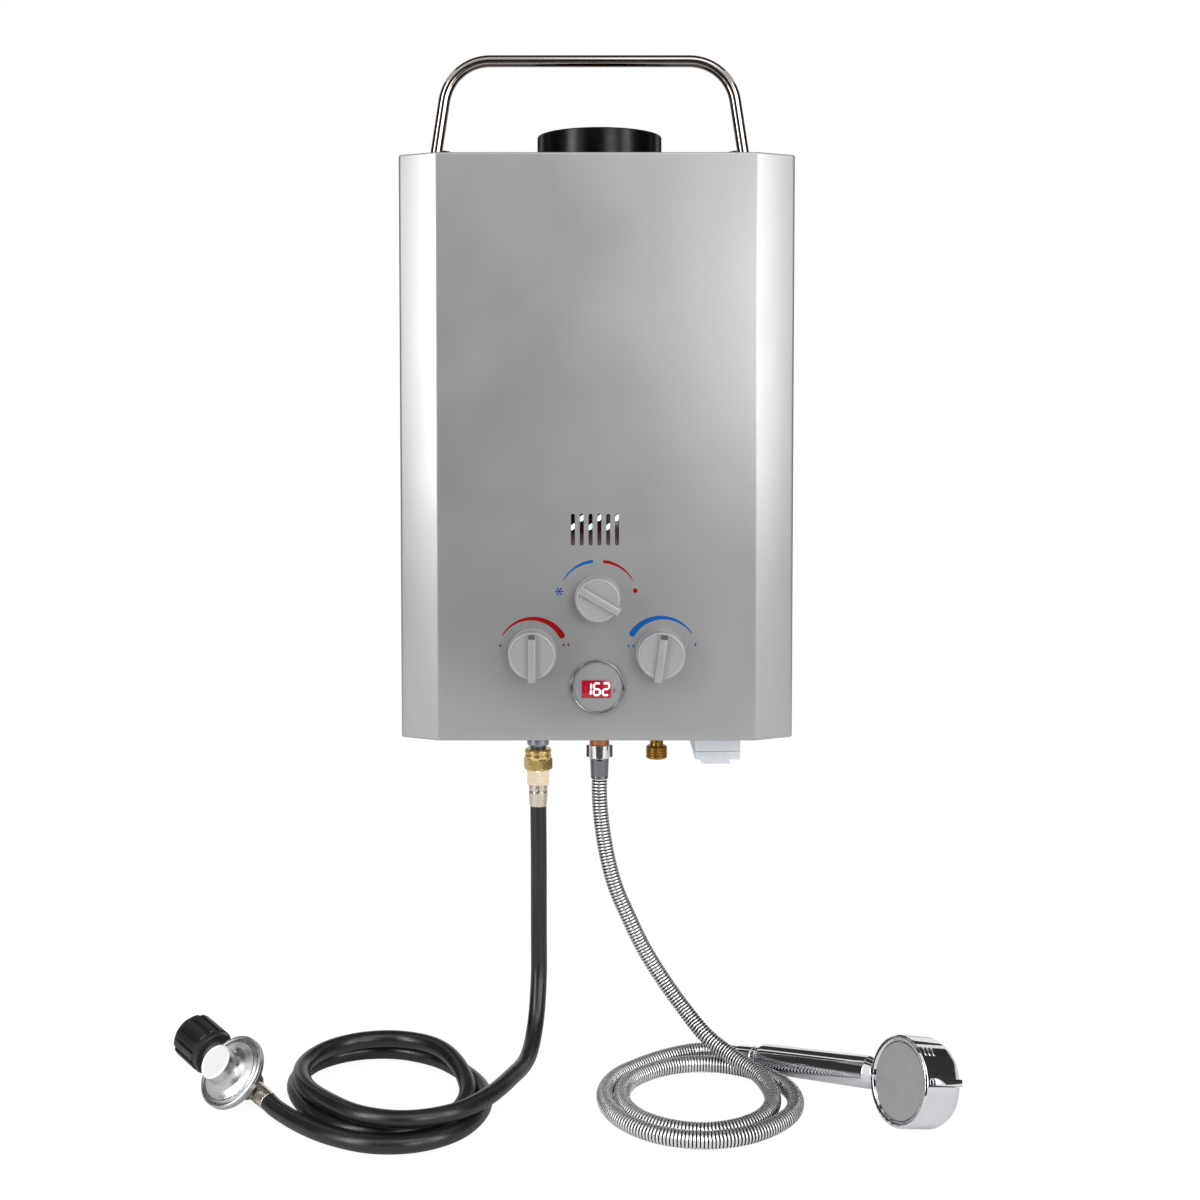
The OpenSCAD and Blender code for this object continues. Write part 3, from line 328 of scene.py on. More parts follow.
gripBlack = plasticFinish("gripBlack", rgb(24, 24, 26), 0.42, 0.5, 0.03, 1.4)
moduleBlack = plasticFinish("moduleBlack", rgb(36, 38, 40), 0.5)
cloudyPlastic = plasticFinish("cloudyPlastic", rgb(208, 211, 215), 0.3, 1.5, 0.02, 1.05,
                              Subsurface_Weight=0.25, Subsurface_Scale=0.004)
faceGrey = plasticFinish("faceGrey", rgb(150, 150, 151), 0.5, 0.6, 0.03, 1.08)
nozzleGrey = plasticFinish("nozzleGrey", rgb(140, 140, 142), 0.55, 0.6, 0.01, 1.05)
ceramic = plasticFinish("ceramic", rgb(232, 228, 220), 0.25)
cellWrap = plasticFinish("cellWrap", rgb(92, 74, 40), 0.3)
leadRed = plasticFinish("leadRed", rgb(150, 26, 22), 0.5)
redInk = plasticFinish("redInk", rgb(128, 3, 9), 0.6, 0.6, 0.004, 1.12, Specular_IOR_Level=0.1)
blueInk = plasticFinish("blueInk", rgb(6, 80, 148), 0.6, 0.6, 0.004, 1.12, Specular_IOR_Level=0.1)
darkInk = plasticFinish("darkInk", rgb(70, 70, 74), 0.5, 0.5, 0.01)
brownInk = plasticFinish("brownInk", rgb(84, 20, 24), 0.45, 0.6, 0.004)
windowRed = plasticFinish("windowRed", rgb(150, 10, 34), 0.12, 2, 0.002, 1.25)
mica, micaShader = finish("mica", rgb(50, 30, 34), 0.0, 0.12)  # smoked sheet, dark at the top and paler grey towards its foot, where a painted reflection is drawn into its colour
nodes, links = mica.node_tree.nodes, mica.node_tree.links
parts = nodes.new("ShaderNodeSeparateXYZ")
height = nodes.new("ShaderNodeMapRange")
height.inputs["From Min"].default_value = -0.266
height.inputs["From Max"].default_value = -0.246
links.new(nodes.new("ShaderNodeTexCoord").outputs["Object"], parts.inputs["Vector"])
links.new(parts.outputs["Z"], height.inputs["Value"])
# the grey stops at the foot are a painted reflection; the dark ones are the smoked sheet
smokeAndPaintedReflection = ((0.0, rgb(104, 98, 98)), (0.35, rgb(70, 52, 54)), (0.6, rgb(44, 16, 20)), (1.0, rgb(30, 12, 16)))
shades(mica, height.outputs["Result"], micaShader.inputs["Base Color"], *smokeAndPaintedReflection)
relief(mica, micaShader, grain(mica, 3), 0.01, 0.3)
glow, glowShader = finish("glow", rgb(255, 214, 220), 0, 0.4, Emission_Strength=1.0)  # lit digits
pink = ((0.3, rgb(255, 190, 200)), (0.7, rgb(255, 240, 242)))
shades(glow, grain(glow, 1.2), glowShader.inputs["Emission Color"], *pink)
# painted glints: pale streaks that glow, standing for reflections in the slot window
paintedGlint, paintedGlintShader = finish("paintedGlint", rgb(226, 242, 246), 0.2, 0.12, Emission_Strength=0.55)
paintedGlintTint = ((0.35, rgb(170, 226, 240)), (0.5, rgb(252, 254, 255)))
shades(paintedGlint, grain(paintedGlint, 3), paintedGlintShader.inputs["Emission Color"], *paintedGlintTint)
print("finishes made")

# gas hose
gasHose = {
    "across": 12.8,
    "route": [
        (-46.3, -60, -476), (-46, -60, -512), (-46, -60, -547), (-46, -60, -580), (-46, -64, -613),
        (-48, -80, -643), (-53, -108, -659), (-64, -142, -660), (-79, -175, -660), (-102, -202, -660),
        (-134, -213, -660), (-166, -205, -660), (-192, -184, -660), (-213.5, -156.5, -660), (-222, -122.5, -660),
        (-211.5, -91.5, -660), (-187, -72, -660), (-155.5, -68.5, -660), (-125, -84, -660), (-105.5, -112.5, -663),
        (-95.5, -147.5, -669), (-105, -178, -673), (-129, -198.5, -673), (-162, -202.5, -673), (-195, -185.5, -673),
        (-218, -152, -673), (-228, -117, -673), (-219, -84, -673), (-194, -63.5, -673), (-161, -59.5, -673),
        (-129, -73, -673), (-105, -98, -673), (-87, -130, -673), (-83.5, -165, -673), (-96, -199, -673),
        (-122, -219.5, -673), (-155, -222.5, -673), (-187, -209, -673), (-212.5, -189, -673),
        (-231.9, -169.7, -671.9), (-240, -161, -670)],
}

gasLine, gasLength = along(gasHose["route"], 4.0)
bm = bmesh.new()
sweep(bm, gasLine, gasHose["across"] / 2, 24)
gasTube = keep("gasTube", bm, hoseRubber, standsFor=("gas_hose",), edge=60)
print("gas hose", round(gasLength), "mm")

# shower hose, wound from metal strip
showerHose = {
    "across": 12.6, "pitch": 2.5, "groove": 0.85, "sides": 18,
    "strip": [0, 0, 0.1, 1, 0.3],  # one turn: a flat crown, then the groove to the next
    "grooveShade": (2, 3),  # the part of a turn that lies in the groove, drawn in darker steel as painted shade
    "route": [
        (2, -60, -454), (2, -60, -466), (3, -60, -483), (7, -60, -511), (14, -60, -539), (25, -60, -565),
        (37, -60, -590), (52, -62, -614), (69, -69, -636), (85.5, -82.5, -652), (104, -97, -662),
        (123.5, -120.5, -668), (130, -149, -672), (122, -175.5, -673), (103, -194.5, -673), (77, -202.5, -673),
        (49.5, -196, -673), (28, -177, -673), (18.5, -148.5, -673), (24.5, -119.5, -673), (42.5, -98.5, -673),
        (68, -86.5, -673), (96, -87, -673), (120.5, -99, -673), (138.5, -119.5, -673), (146.5, -145.5, -673),
        (142, -172, -673), (125, -195, -673), (102, -210.5, -673), (74, -216, -673), (46, -209, -673),
        (23.5, -191.5, -673), (9.5, -166.5, -673), (6, -138, -673), (14.5, -110.5, -673), (33, -89, -673),
        (54, -72, -673), (76, -61, -673), (95, -59.5, -673), (107, -63.5, -673.5), (113, -68, -673)],
}

strip = showerHose["strip"]
showerLine, showerLength = along(showerHose["route"], showerHose["pitch"] / len(strip))
ribs = [showerHose["across"] / 2 - showerHose["groove"] * strip[i % len(strip)] for i in range(len(showerLine))]
bm = bmesh.new()
sweep(bm, showerLine, ribs, showerHose["sides"])
# groove faces take the darker steel, painted shade in the grooves
for k, face in enumerate(bm.faces):
    face.material_index = int(k // showerHose["sides"] % len(strip) in showerHose["grooveShade"])
showerTube = keep("showerTube", bm, [hoseChrome, hoseGrooveShade], standsFor=("shower_hose",), edge=50)
print("shower hose", round(showerLength), "mm")

# how the regulator and the hand shower lie: place in mm, then heading, pitch and roll in degrees
lying = {
    "regulator": (gasHose["route"][-1], 133, -9, -49),
    "grip": (showerHose["route"][-1], -45, -10.4, 0),
    "head": ((229.56, -184.56, -645.34), -153.5, 90 - 13.2, 0),
}
alongX = turned(90, "Y")  # turns local Z onto local X


def lie(place, heading, pitch, roll):
    return put(*place) @ turned(heading, "Z") @ turned(pitch, "Y") @ turned(roll, "X")


regulatorPlace, gripPlace, headPlace = lie(*lying["regulator"]), lie(*lying["grip"]), lie(*lying["head"])

# case
case = {
    "width": 295, "depth": 125, "bevelWidth": 29, "bevelDepth": 14, "sheet": 0.8, "fold": 3.2,
    "bottom": -411, "top": 25,
    "slots": 6, "slotPitch": 6.55, "slotShift": -1.35, "slotWidth": 3, "slotHeight": 23.7, "slotMiddle": -253,
    "knobs": [(-47.7, -345), (47.7, -345), (1, -304)], "stemHole": 4.5, "display": (0.5, -370.5, 18.35),
    "cut": (118, 130), "fittings": -60,  # reach of the punched holes; line of the flue and the fittings
}
onPanel = turned(90, "X")  # stands a drawing up, with local Z to the front


def casePlan(inset):  # the folded sheet from above, from its left rear edge to its right one
    slope = case["bevelDepth"] / case["bevelWidth"]
    pull = inset * sqrt(1 + slope * slope)
    side, front = case["width"] / 2 - inset, inset - case["depth"]
    shoulder = -(case["depth"] - case["bevelDepth"]) - inset * slope + pull
    flat = case["width"] / 2 - (case["bevelDepth"] + pull - inset) / slope
    bend = max(case["fold"] - inset, 0.8)
    half = [(flat, front, bend * 1.6), (side, shoulder, bend), (side, -case["sheet"])]
    return fillet([(-x, *others) for x, *others in reversed(half)] + half, 5)


def slotX(i):  # the middle of a slot, counted from the left
    return (i - (case["slots"] - 1) / 2) * case["slotPitch"] + case["slotShift"]


bm = bmesh.new()
rim = [(0.8, 0), (0.45, 0.25), (0.15, 0.7), (0, 1.4)]  # inset and distance from the end of the sheet
levels = [(inset, case["bottom"] + off) for inset, off in rim]
levels += [(inset, case["top"] - off) for inset, off in reversed(rim)]
levels += [(case["sheet"] + 0.02, z) for z in (case["top"], case["bottom"])]
rings = [[bm.verts.new((p.x * mm, p.y * mm, z * mm)) for p in casePlan(inset)] for inset, z in levels]
for a, b in zip(rings, rings[1:] + rings[:1]):
    for k in range(len(a) - 1):
        bm.faces.new((a[k], a[k + 1], b[k + 1], b[k]))
for end in (0, -1):
    bm.faces.new([ring[end] for ring in rings])
cover = keep("caseCover", bm, casePaint, standsFor=("front_cover",), edge=25)

bm = bmesh.new()
r, rise = case["slotWidth"] / 2, (case["slotHeight"] - case["slotWidth"]) / 2
for i in range(case["slots"]):
    outline = []
    for start, lift in ((0, rise), (pi, -rise)):  # the upper and the lower round end
        for turn in [start + pi * k / 10 for k in range(11)]:
            outline.append((slotX(i) + r * cos(turn), case["slotMiddle"] + lift + r * sin(turn)))
    prism(bm, outline, *case["cut"], onPanel)
for x, z, r in [(x, z, case["stemHole"]) for x, z in case["knobs"]] + [case["display"]]:
    turns = [2 * pi * k / 48 for k in range(48)]
    prism(bm, [(x + r * cos(turn), z + r * sin(turn)) for turn in turns], *case["cut"], onPanel)
bmesh.ops.recalc_face_normals(bm, faces=bm.faces)
cutMesh = bpy.data.meshes.new("cutters")
bm.to_mesh(cutMesh)
bm.free()
cutters = bpy.data.objects.new("cutters", cutMesh)
bpy.context.collection.objects.link(cutters)
holes = cover.modifiers.new("holes", "BOOLEAN")
holes.object = cutters
holes.solver = "EXACT"
bpy.context.view_layer.update()
punched = bpy.data.meshes.new_from_object(cover.evaluated_get(bpy.context.evaluated_depsgraph_get()))
cover.modifiers.clear()
cover.data = punched
bpy.data.objects.remove(cutters)
for plate in ("top_plate", "bottom_plate"):
    coat(plate, casePaint)
print("case cover folded and punched")

# a window behind the slots, with painted glints: glowing streaks that stand for reflections
slotWindow = {
    "low": (-24, -123.7, -270), "high": (22, -122.9, -236),
    "paintedGlints": (-250.9, -244.6, -250.9, -244.2, -250.9, -244.2), "depth": (123.6, 123.9),
    "shape": ((-1.6, -3.2), (1.3, -1.6), (1.6, 3.2), (-1.3, 1.0)), "round": 1.1,
}

bm = bmesh.new()
block(bm, slotWindow["low"], slotWindow["high"], 0.2)
keep("slotWindow", bm, mica)
# the painted glints, one glowing streak behind each slot
bm = bmesh.new()
for i, middle in enumerate(slotWindow["paintedGlints"]):
    shape = fillet([(slotX(i) + x, middle + z, slotWindow["round"]) for x, z in slotWindow["shape"]], 5, True)
    prism(bm, [tuple(p) for p in shape], *slotWindow["depth"], onPanel)
keep("paintedSlotGlints", bm, paintedGlint)

# back, brackets and screws
screws = {"places": [(side, z) for side in (-1, 1) for z in (-371, -15)], "fromBack": 8,
          "head": [(0, 0.5), (0.9, 0.55), (1.2, 1.35, 0.3), (2.4, 1.3), (3.6, 0.5, 0.3), (3.6, 0), (0, 0)]}

coat("back_panel", zinc)
bm = bmesh.new()
for side, z in screws["places"]:
    place = put(side * case["width"] / 2, -screws["fromBack"], z) @ turned(90 * side, "Y")
    lathe(bm, screws["head"], 32, place=place)
keep("caseScrews", bm, plated, standsFor=("cover_screws",))
eased("handle_brackets", "handleLugs", plated, 0.35)
print("back and screws done")

# flue collar
flue = {"x": 2, "radius": 48, "flange": 55, "low": 25, "high": 46.6, "wall": 2,
        "screwCircle": 51.8, "screwRise": 1.1,
        "screw": [(0, 0.7), (0.6, 0.75), (0.9, 1.3, 0.2), (1.6, 1.2), (2.4, 0.5, 0.3), (2.4, 0), (0, 0)]}

flueFoot = put(flue["x"], case["fittings"], flue["low"])
r, inner, tall = flue["radius"], flue["radius"] - flue["wall"], flue["high"] - flue["low"]
bm = bmesh.new()
lathe(bm, [(flue["flange"], 0), (flue["flange"], 1.2, 0.6), (r + 0.4, 1.3, 0.8), (r, 2.6, 1.0),
           (r, tall - 1.0, 0.9), (r - 0.9, tall, 0.8), (inner, tall - 0.9, 0.5), (inner, 0)], 128, True, flueFoot)
keep("flueRing", bm, blackEnamel, standsFor=("flue_collar",))
bm = bmesh.new()
for k in range(4):
    turn, out = radians(45 + 90 * k), flue["screwCircle"]
    lathe(bm, flue["screw"], 24, place=flueFoot @ put(out * cos(turn), out * sin(turn), flue["screwRise"]))
keep("flueScrews", bm, plated)

# handle
handle = {"x": -5.5, "radius": 4.5, "gripHalf": 77, "corner": 36, "splay": 9, "top": 105,
          "pin": 31, "pinRadius": 3.5, "lug": 3, "clip": 2, "gap": 0.3, "tail": 2.9, "endCut": 0.8}


def handleLine():  # the bent rod, and how far out its legs pass the pins
    lean = radians(handle["splay"])
    corner = []
    for k in range(17):
        turn = lean + (pi / 2 - lean) * k / 16
        x, z = handle["corner"] * cos(turn), handle["corner"] * sin(turn)
        corner.append((handle["gripHalf"] + x, handle["top"] - handle["corner"] + z))
    x0, z0 = corner[0]
    fall = (z0 - handle["pin"]) / cos(lean)
    reach = fall + handle["tail"]
    leg = [(x0 + reach * sin(lean) * t, z0 - reach * cos(lean) * t) for t in (1, 0.985, 0.5)]
    right = leg + corner
    flat = [(handle["gripHalf"] * t, handle["top"]) for t in (0.6, 0.2, -0.2, -0.6)]
    whole = right + flat + [(-x, z) for x, z in reversed(right)]
    return [Vector((handle["x"] + x, case["fittings"], z)) for x, z in whole], x0 + fall * sin(lean)


rodLine, legX = handleLine()
lean = radians(handle["splay"])
legInside = legX - handle["radius"] / cos(lean) - (handle["pinRadius"] + 2) * tan(lean)
lugX = legInside - handle["gap"] - handle["lug"]
pinStart = lugX - handle["clip"] - handle["gap"] - 1
reach = legX - pinStart
bm = bmesh.new()
radii = [handle["radius"]] * len(rodLine)
radii[0] = radii[-1] = handle["radius"] - handle["endCut"]
sweep(bm, rodLine, radii, 32)
for side in (-1, 1):
    place = put(handle["x"] + side * pinStart, case["fittings"], handle["pin"]) @ turned(90 * side, "Y")
    r = handle["pinRadius"]
    lathe(bm, [(0, 0), (r - 0.4, 0, 0.3), (r, 0.5), (r, 1.0), (r + 1.5, 1.0, 0.2), (r + 1.5, 3.0, 0.2), (r, 3.0),
               (r, reach), (0, reach)], 32, place=place)
keep("handleRod", bm, handleSteel, "carry_handle", ("handle",), 40)
print("collar and handle done")

# knobs
knobs = {
    "depth": 17, "back": -125.6, "bar": 6.5, "barRise": 2.4, "core": 3,
    "flame": {"place": (-47.7, -345), "radius": 18.6, "tilt": 0, "body": "flame_control"},
    "water": {"place": (47.7, -345), "radius": 18.6, "tilt": 8, "body": "water_control"},
    "season": {"place": (1, -304), "radius": 17.3, "tilt": -60, "body": "season_control"},
}


def knob(kind):
    one = knobs[kind]
    r, face, core = one["radius"], knobs["depth"], knobs["core"]
    place = put(one["place"][0], knobs["back"], one["place"][1]) @ onPanel @ turned(-one["tilt"], "Z")
    bm = bmesh.new()
    lathe(bm, [(core, 0), (r, 0, 0.4), (r, 2.2, 0.5), (r - 0.7, 2.9, 0.3), (r - 1.2, face - 0.2, 1.1),
               (r - 2.6, face, 0.4), (r - 3.1, face - 0.55, 0.3), (0, face - 0.45)], 96, place=place)
    lathe(bm, [(core, 0), (core, 11), (0, 11)], 32, place=place)
    w, top = knobs["bar"] / 2, face + knobs["barRise"]
    bar = fillet([(-w, -r - 1.2, 1.3), (w, -r - 1.2, 1.3), (w, r - 2.2, 0.7), (-w, r - 2.2, 0.7)], 5, True)
    rings = []
    for z, pull in ((face - 6, 0), (top - 0.9, 0.25), (top - 0.25, 0.55), (top, 1.2)):
        inward = [(p.x - pull * (1 if p.x > 0 else -1), p.y - pull * (1 if p.y > 0 else -1)) for p in bar]
        rings.append([bm.verts.new(place @ Vector((x * mm, y * mm, z * mm))) for x, y in inward])
    skin(bm, rings, False)
    keep(kind + "KnobShell", bm, knobPaint, one["body"], (kind + "_knob",), 30)
    if kind != "season":  # a dark pointer with three ribs
        bm = bmesh.new()
        corners = ((-2.6, r - 6.0), (2.6, r - 6.0), (2.4, r - 2.6), (-2.4, r - 2.6))
        mark = fillet([(*corner, 0.4) for corner in corners], 3, True)
        prism(bm, [tuple(p) for p in mark], face + 1.6, top + 0.06, place)
        for y in [r - 5.6 + 1.1 * k for k in range(3)]:
            block(bm, (-2.3, y, top), (2.3, y + 0.5, top + 0.1), 0.04, place)
        keep(kind + "KnobMark", bm, darkInk, one["body"])


for kind in ("flame", "water", "season"):
    knob(kind)
    coat(kind + "_stem", plated)
print("knobs turned")

# printed marks on the panel
marks = {
    "sunk": 0.3, "rise": 0.06,
    "arcs": [  # centre, start and end in degrees from straight up, radius and half width at both ends
        (-47.7, -345, -60, 59, 26.0, 0.35, 25.2, 2.35, "red"),
        (47.7, -345, -56, 57, 25.6, 2.35, 27.2, 0.35, "blue"),
        (1, -304, -62, -10, 29.0, 0.3, 27.6, 1.25, "blue"),
        (1, -304, 10, 62, 27.6, 1.25, 29.0, 0.3, "red")],
    "flames": [(-71.9, -339.4), (-24.6, -338.8), (-21.2, -338.8)],
    "drops": [(23.6, -339.8), (27.3, -339.8), (73.5, -338.6)], "dropSize": 1.25, "flameSize": 1.3,
    "snow": (-27.9, -299.1), "sun": (28.6, -298.5), "sunSize": 1.75,
}


def printed(bm, outline):
    prism(bm, outline, case["depth"] - marks["sunk"], case["depth"] + marks["rise"], onPanel)


def arcMark(bm, x, z, start, end, r0, w0, r1, w1):  # a band that changes its width, with round ends
    def spot(turn, r):
        return x + r * sin(radians(turn)), z + r * cos(radians(turn))
    steps, outside, inside = 28, [], []
    for k in range(steps + 1):
        t = k / steps
        turn, r, w = start + (end - start) * t, r0 + (r1 - r0) * t, w0 + (w1 - w0) * t
        outside.append(spot(turn, r + w))
        inside.append(spot(turn, r - w))
    caps = []
    for turn, r, w, way in ((end, r1, w1, 1), (start, r0, w0, -1)):
        cx, cz = spot(turn, r)
        bend = [radians(turn + way * a) for a in (30, 60, 90, 120, 150)]
        caps.append([(cx + w * sin(a), cz + w * cos(a)) for a in bend])
    printed(bm, outside + caps[0] + inside[::-1] + caps[1][::-1])


def dropMark(bm, x, z, size, lean):  # a round drop with a tip, which leans for a flame
    shape = [(lean * size * 0.2, size * 1.25)]
    for k in range(15):
        a = radians(60 - 300 * k / 14)
        shape.append((size * 0.62 * cos(a), size * 0.62 * sin(a) - size * 0.3))
    printed(bm, [(x + px, z + pz) for px, pz in shape])


inks = {"red": bmesh.new(), "blue": bmesh.new()}
for *band, ink in marks["arcs"]:
    arcMark(inks[ink], *band)
for x, z in marks["drops"]:
    dropMark(inks["blue"], x, z, marks["dropSize"], 0)
x, z = marks["snow"]
bar = [(-2.9, -0.36), (2.9, -0.36), (2.9, 0.36), (-2.9, 0.36)]
twigs = [[(1.5, 0), (2.5, side), (2.9, 0.7 * side), (2.0, -0.1 * side)] for side in (-1, 1)]
for k in range(6):  # three bars through the middle, with two twigs at each end
    turn = Matrix.Rotation(radians(60 * k), 2)
    for outline in twigs + ([bar] if k < 3 else []):
        printed(inks["blue"], [(x + p.x, z + p.y) for p in [turn @ Vector(q) for q in outline]])
x, z = marks["sun"]
r, turns = marks["sunSize"], [radians(15 * k) for k in range(24)]
printed(inks["red"], [(x + r * cos(turn), z + r * sin(turn)) for turn in turns])
keep("redMarks", inks["red"], redInk)
keep("blueMarks", inks["blue"], blueInk)
bm = bmesh.new()
for x, z in marks["flames"]:
    dropMark(bm, x, z, marks["flameSize"], 1)
keep("flameMarks", bm, brownInk)
print("marks printed")

# display
display = {
    "x": 0.5, "z": -370.5, "ring": 20.5, "ringWidth": 2.2, "window": (-11.2, -378.65, 10.5, -365.35),
    "digits": "162", "digitSize": (4.5, 8.8), "stroke": 1.35, "slant": 0.06, "firstDigit": -6.6, "pitch": 6.7,
    "unlit": [(-8.9, -7.3), (-8.9, -2.7)], "unlitSize": (0.9, 3.6),  # bars before the first digit
    "unit": (12.6, -375.4), "unitBars": [(0, 0, 0.45, 3.4), (0, 2.95, 1.7, 0.45), (0, 1.5, 1.3, 0.45)],
}
facing = put(display["x"], -case["depth"], display["z"]) @ onPanel
outer, inner = display["ring"], display["ring"] - display["ringWidth"]

bm = bmesh.new()
lathe(bm, [(outer, 0), (outer, 1.2, 0.5), (outer - 0.5, 2.5, 0.7), (inner + 0.4, 2.5, 0.6), (inner, 1.0, 0.2),
           (inner, 0)], 128, True, facing)
keep("displayRing", bm, ringChrome, standsFor=("display_bezel",))
bm = bmesh.new()
lathe(bm, [(0, -13), (outer + 1, -3.2), (outer + 1, -1.2), (inner, -1.2), (inner, 0.95, 0.15),
           (inner - 0.7, 1.02), (0, 1.02)], 96, place=facing)
keep("displayFace", bm, stickerSilver, standsFor=("display_module",))
x0, z0, x1, z1 = display["window"]
bm = bmesh.new()
block(bm, (x0, -case["depth"] - 1.7, z0), (x1, -case["depth"] - 1.0, z1), 0.25)
keep("displayWindow", bm, windowRed, standsFor=("display_lens",))

litFrom = case["depth"] + 1.6  # just inside the window's face
segments = {"1": "bc", "6": "acdefg", "2": "abged"}
w, h, t = display["digitSize"][0] / 2, display["digitSize"][1] / 2, display["stroke"] / 2
bars = {  # where each bar of a digit starts, and whether it lies flat
    "a": (-w, h, True), "g": (-w, 0, True), "d": (-w, -h, True),
    "f": (-w, 0, False), "b": (w, 0, False), "e": (-w, -h, False), "c": (w, -h, False),
}
bm = bmesh.new()
for i, digit in enumerate(display["digits"]):
    cx, cz = display["firstDigit"] + display["pitch"] * i, (z0 + z1) / 2
    for name in segments[digit]:
        x, z, flat = bars[name]
        end = 2 * w if flat else h
        tip, neck = t * 0.3, t * 1.2  # a bar is pointed at both ends
        bar = [(tip, 0), (neck, t), (end - neck, t), (end - tip, 0), (end - neck, -t), (neck, -t)]
        shape = [(x + u, z + v) if flat else (x + v, z + u) for u, v in bar]
        prism(bm, [(cx + u + display["slant"] * v, cz + v) for u, v in shape], litFrom, litFrom + 0.18, onPanel)
keep("displayDigits", bm, glow)


def barMark(bm, x, z, wide, high, shear, low, top):
    prism(bm, [(x, z), (x + wide, z), (x + wide + shear, z + high), (x + shear, z + high)], low, top, onPanel)


bm = bmesh.new()
for x, z in display["unlit"]:
    barMark(bm, x, display["z"] + z, *display["unlitSize"], 0.2, litFrom, litFrom + 0.14)
keep("displayUnlit", bm, leadRed)
bm = bmesh.new()
for x, z, wide, high in display["unitBars"]:
    x, z = x + display["unit"][0], z + display["unit"][1]
    barMark(bm, x, z, wide, high, 0, case["depth"] + 0.8, case["depth"] + 1.08)
keep("displayUnit", bm, brownInk)
print("display lit")

# gas fittings under the case
gasFitting = {
    "x": -46.3, "stubEnd": -439.4, "stubFace": -427.5, "nutHex": 19.9, "hexTop": -437.4, "adapterHex": 17.0,
    "adapterTop": -446.5, "ferruleTop": -458.5, "hoseTop": -476, "dimple": (0.6, 0, -463),
}


def under(x):  # the upright line of a fitting
    return put(x, case["fittings"], 0)


def threadLine(radius, low, high, deep, pitch=1.2):
    line = []
    z = low
    while z < high - 1e-6:
        line += [(radius - deep, z), (radius, min(z + pitch / 2, high))]
        z += pitch
    return line + [(radius - deep, high)]


here = under(gasFitting["x"])
bm = bmesh.new()
end, z = gasFitting["stubEnd"], gasFitting["stubFace"]
lathe(bm, [(4, end)] + threadLine(6.6, end, z - 0.9, 0.5) + [
    (6.2, z), (8.2, z, 0.3), (8.7, z + 1.2, 0.5), (8.7, z + 8.5, 0.4), (8.2, z + 9.3, 0.4), (8.2, z + 10.5, 0.4),
    (8.7, z + 11.1, 0.4), (8.7, case["bottom"]), (6.6, case["bottom"]), (6.6, -385), (4, -385)], 72, True, here)
keep("gasStub", bm, plated, standsFor=("gas_inlet",))
bm = bmesh.new()
z = gasFitting["hexTop"]
lathe(bm, [(6.7, z - 1), (6.7, z + 7.1), (9.6, z + 7.3, 0.5), (10.5, z + 6, 0.5), (10.5, z + 4.2, 0.3),
           (9.9, z + 3.6, 0.2), (9.9, z + 2.8, 0.2), (10.4, z + 2.2, 0.4), (10.4, z - 0.2), (10.2, z - 1)],
      72, True, here)
hexBody(bm, gasFitting["nutHex"], gasFitting["adapterTop"], z, 5.05, here @ turned(-10.6, "Z"), 10.4)
keep("flareNutShell", bm, goldBrass, standsFor=("hose_flare_nut",))
bm = bmesh.new()
z = gasFitting["adapterTop"]
hexBody(bm, gasFitting["adapterHex"], gasFitting["ferruleTop"], z, 3, here @ turned(30, "Z"), 9.0)
lathe(bm, [(3, z - 11.9), (5, z - 0.5), (5, z + 6.9), (3, z + 6.9)], 48, True, here)
keep("adapterShell", bm, paleBrass, standsFor=("hose_adapter",))


def ferruleShell(bm, place, low, high, small, large):  # pressed sleeve with a shallow crimp
    crimp = low + (high - low) * 0.72
    lathe(bm, [(3, low), (small - 0.3, low, 0.2), (small, low + 0.6, 0.4), (large, crimp - 1.6, 2),
               (large - 0.18, crimp, 1), (large, crimp + 1.6, 1), (large, high - 0.6, 0.4),
               (large - 0.4, high, 0.2), (3, high)], 64, True, place)


bm = bmesh.new()
ferruleShell(bm, here, gasFitting["hoseTop"], gasFitting["ferruleTop"], 6.85, 7.4)
ferruleShell(bm, regulatorPlace @ alongX, 0, 18, 6.6, 7.0)
keep("hoseFerrules", bm, ferruleSteel, standsFor=("gas_hose_ferrules",))
# a dark spot at the crimp: painted shade standing for the dimple's hollow
bm = bmesh.new()
lathe(bm, [(0, 7.2), (0.75, 7.2), (0.8, 7.46, 0.05), (0.6, 7.5, 0.05), (0.3, 7.34, 0.1), (0, 7.32)], 20,
      place=here @ put(*gasFitting["dimple"]) @ onPanel)
keep("ferruleDimpleShade", bm, darkInk)
print("gas fittings done")

# hot water outlet, with its nut and sleeve
outlet = {
    "x": 2, "nut": 8.4, "lug": 10.35, "lugWidth": 2.7, "turns": 160,
    "levels": [  # height, how far the face is pulled in, and whether the four lugs stand there
        (-438, 0.8, False), (-437.6, 0.2, False), (-437.2, 0, False), (-437.0, 0, True),
        (-427.6, 0, True), (-427.4, 0, False), (-427.2, 0.2, False), (-427.0, 0.7, False)],
    "bore": [(6.6, -427.0), (6.6, -435), (5.1, -435), (5.1, -438)],
}

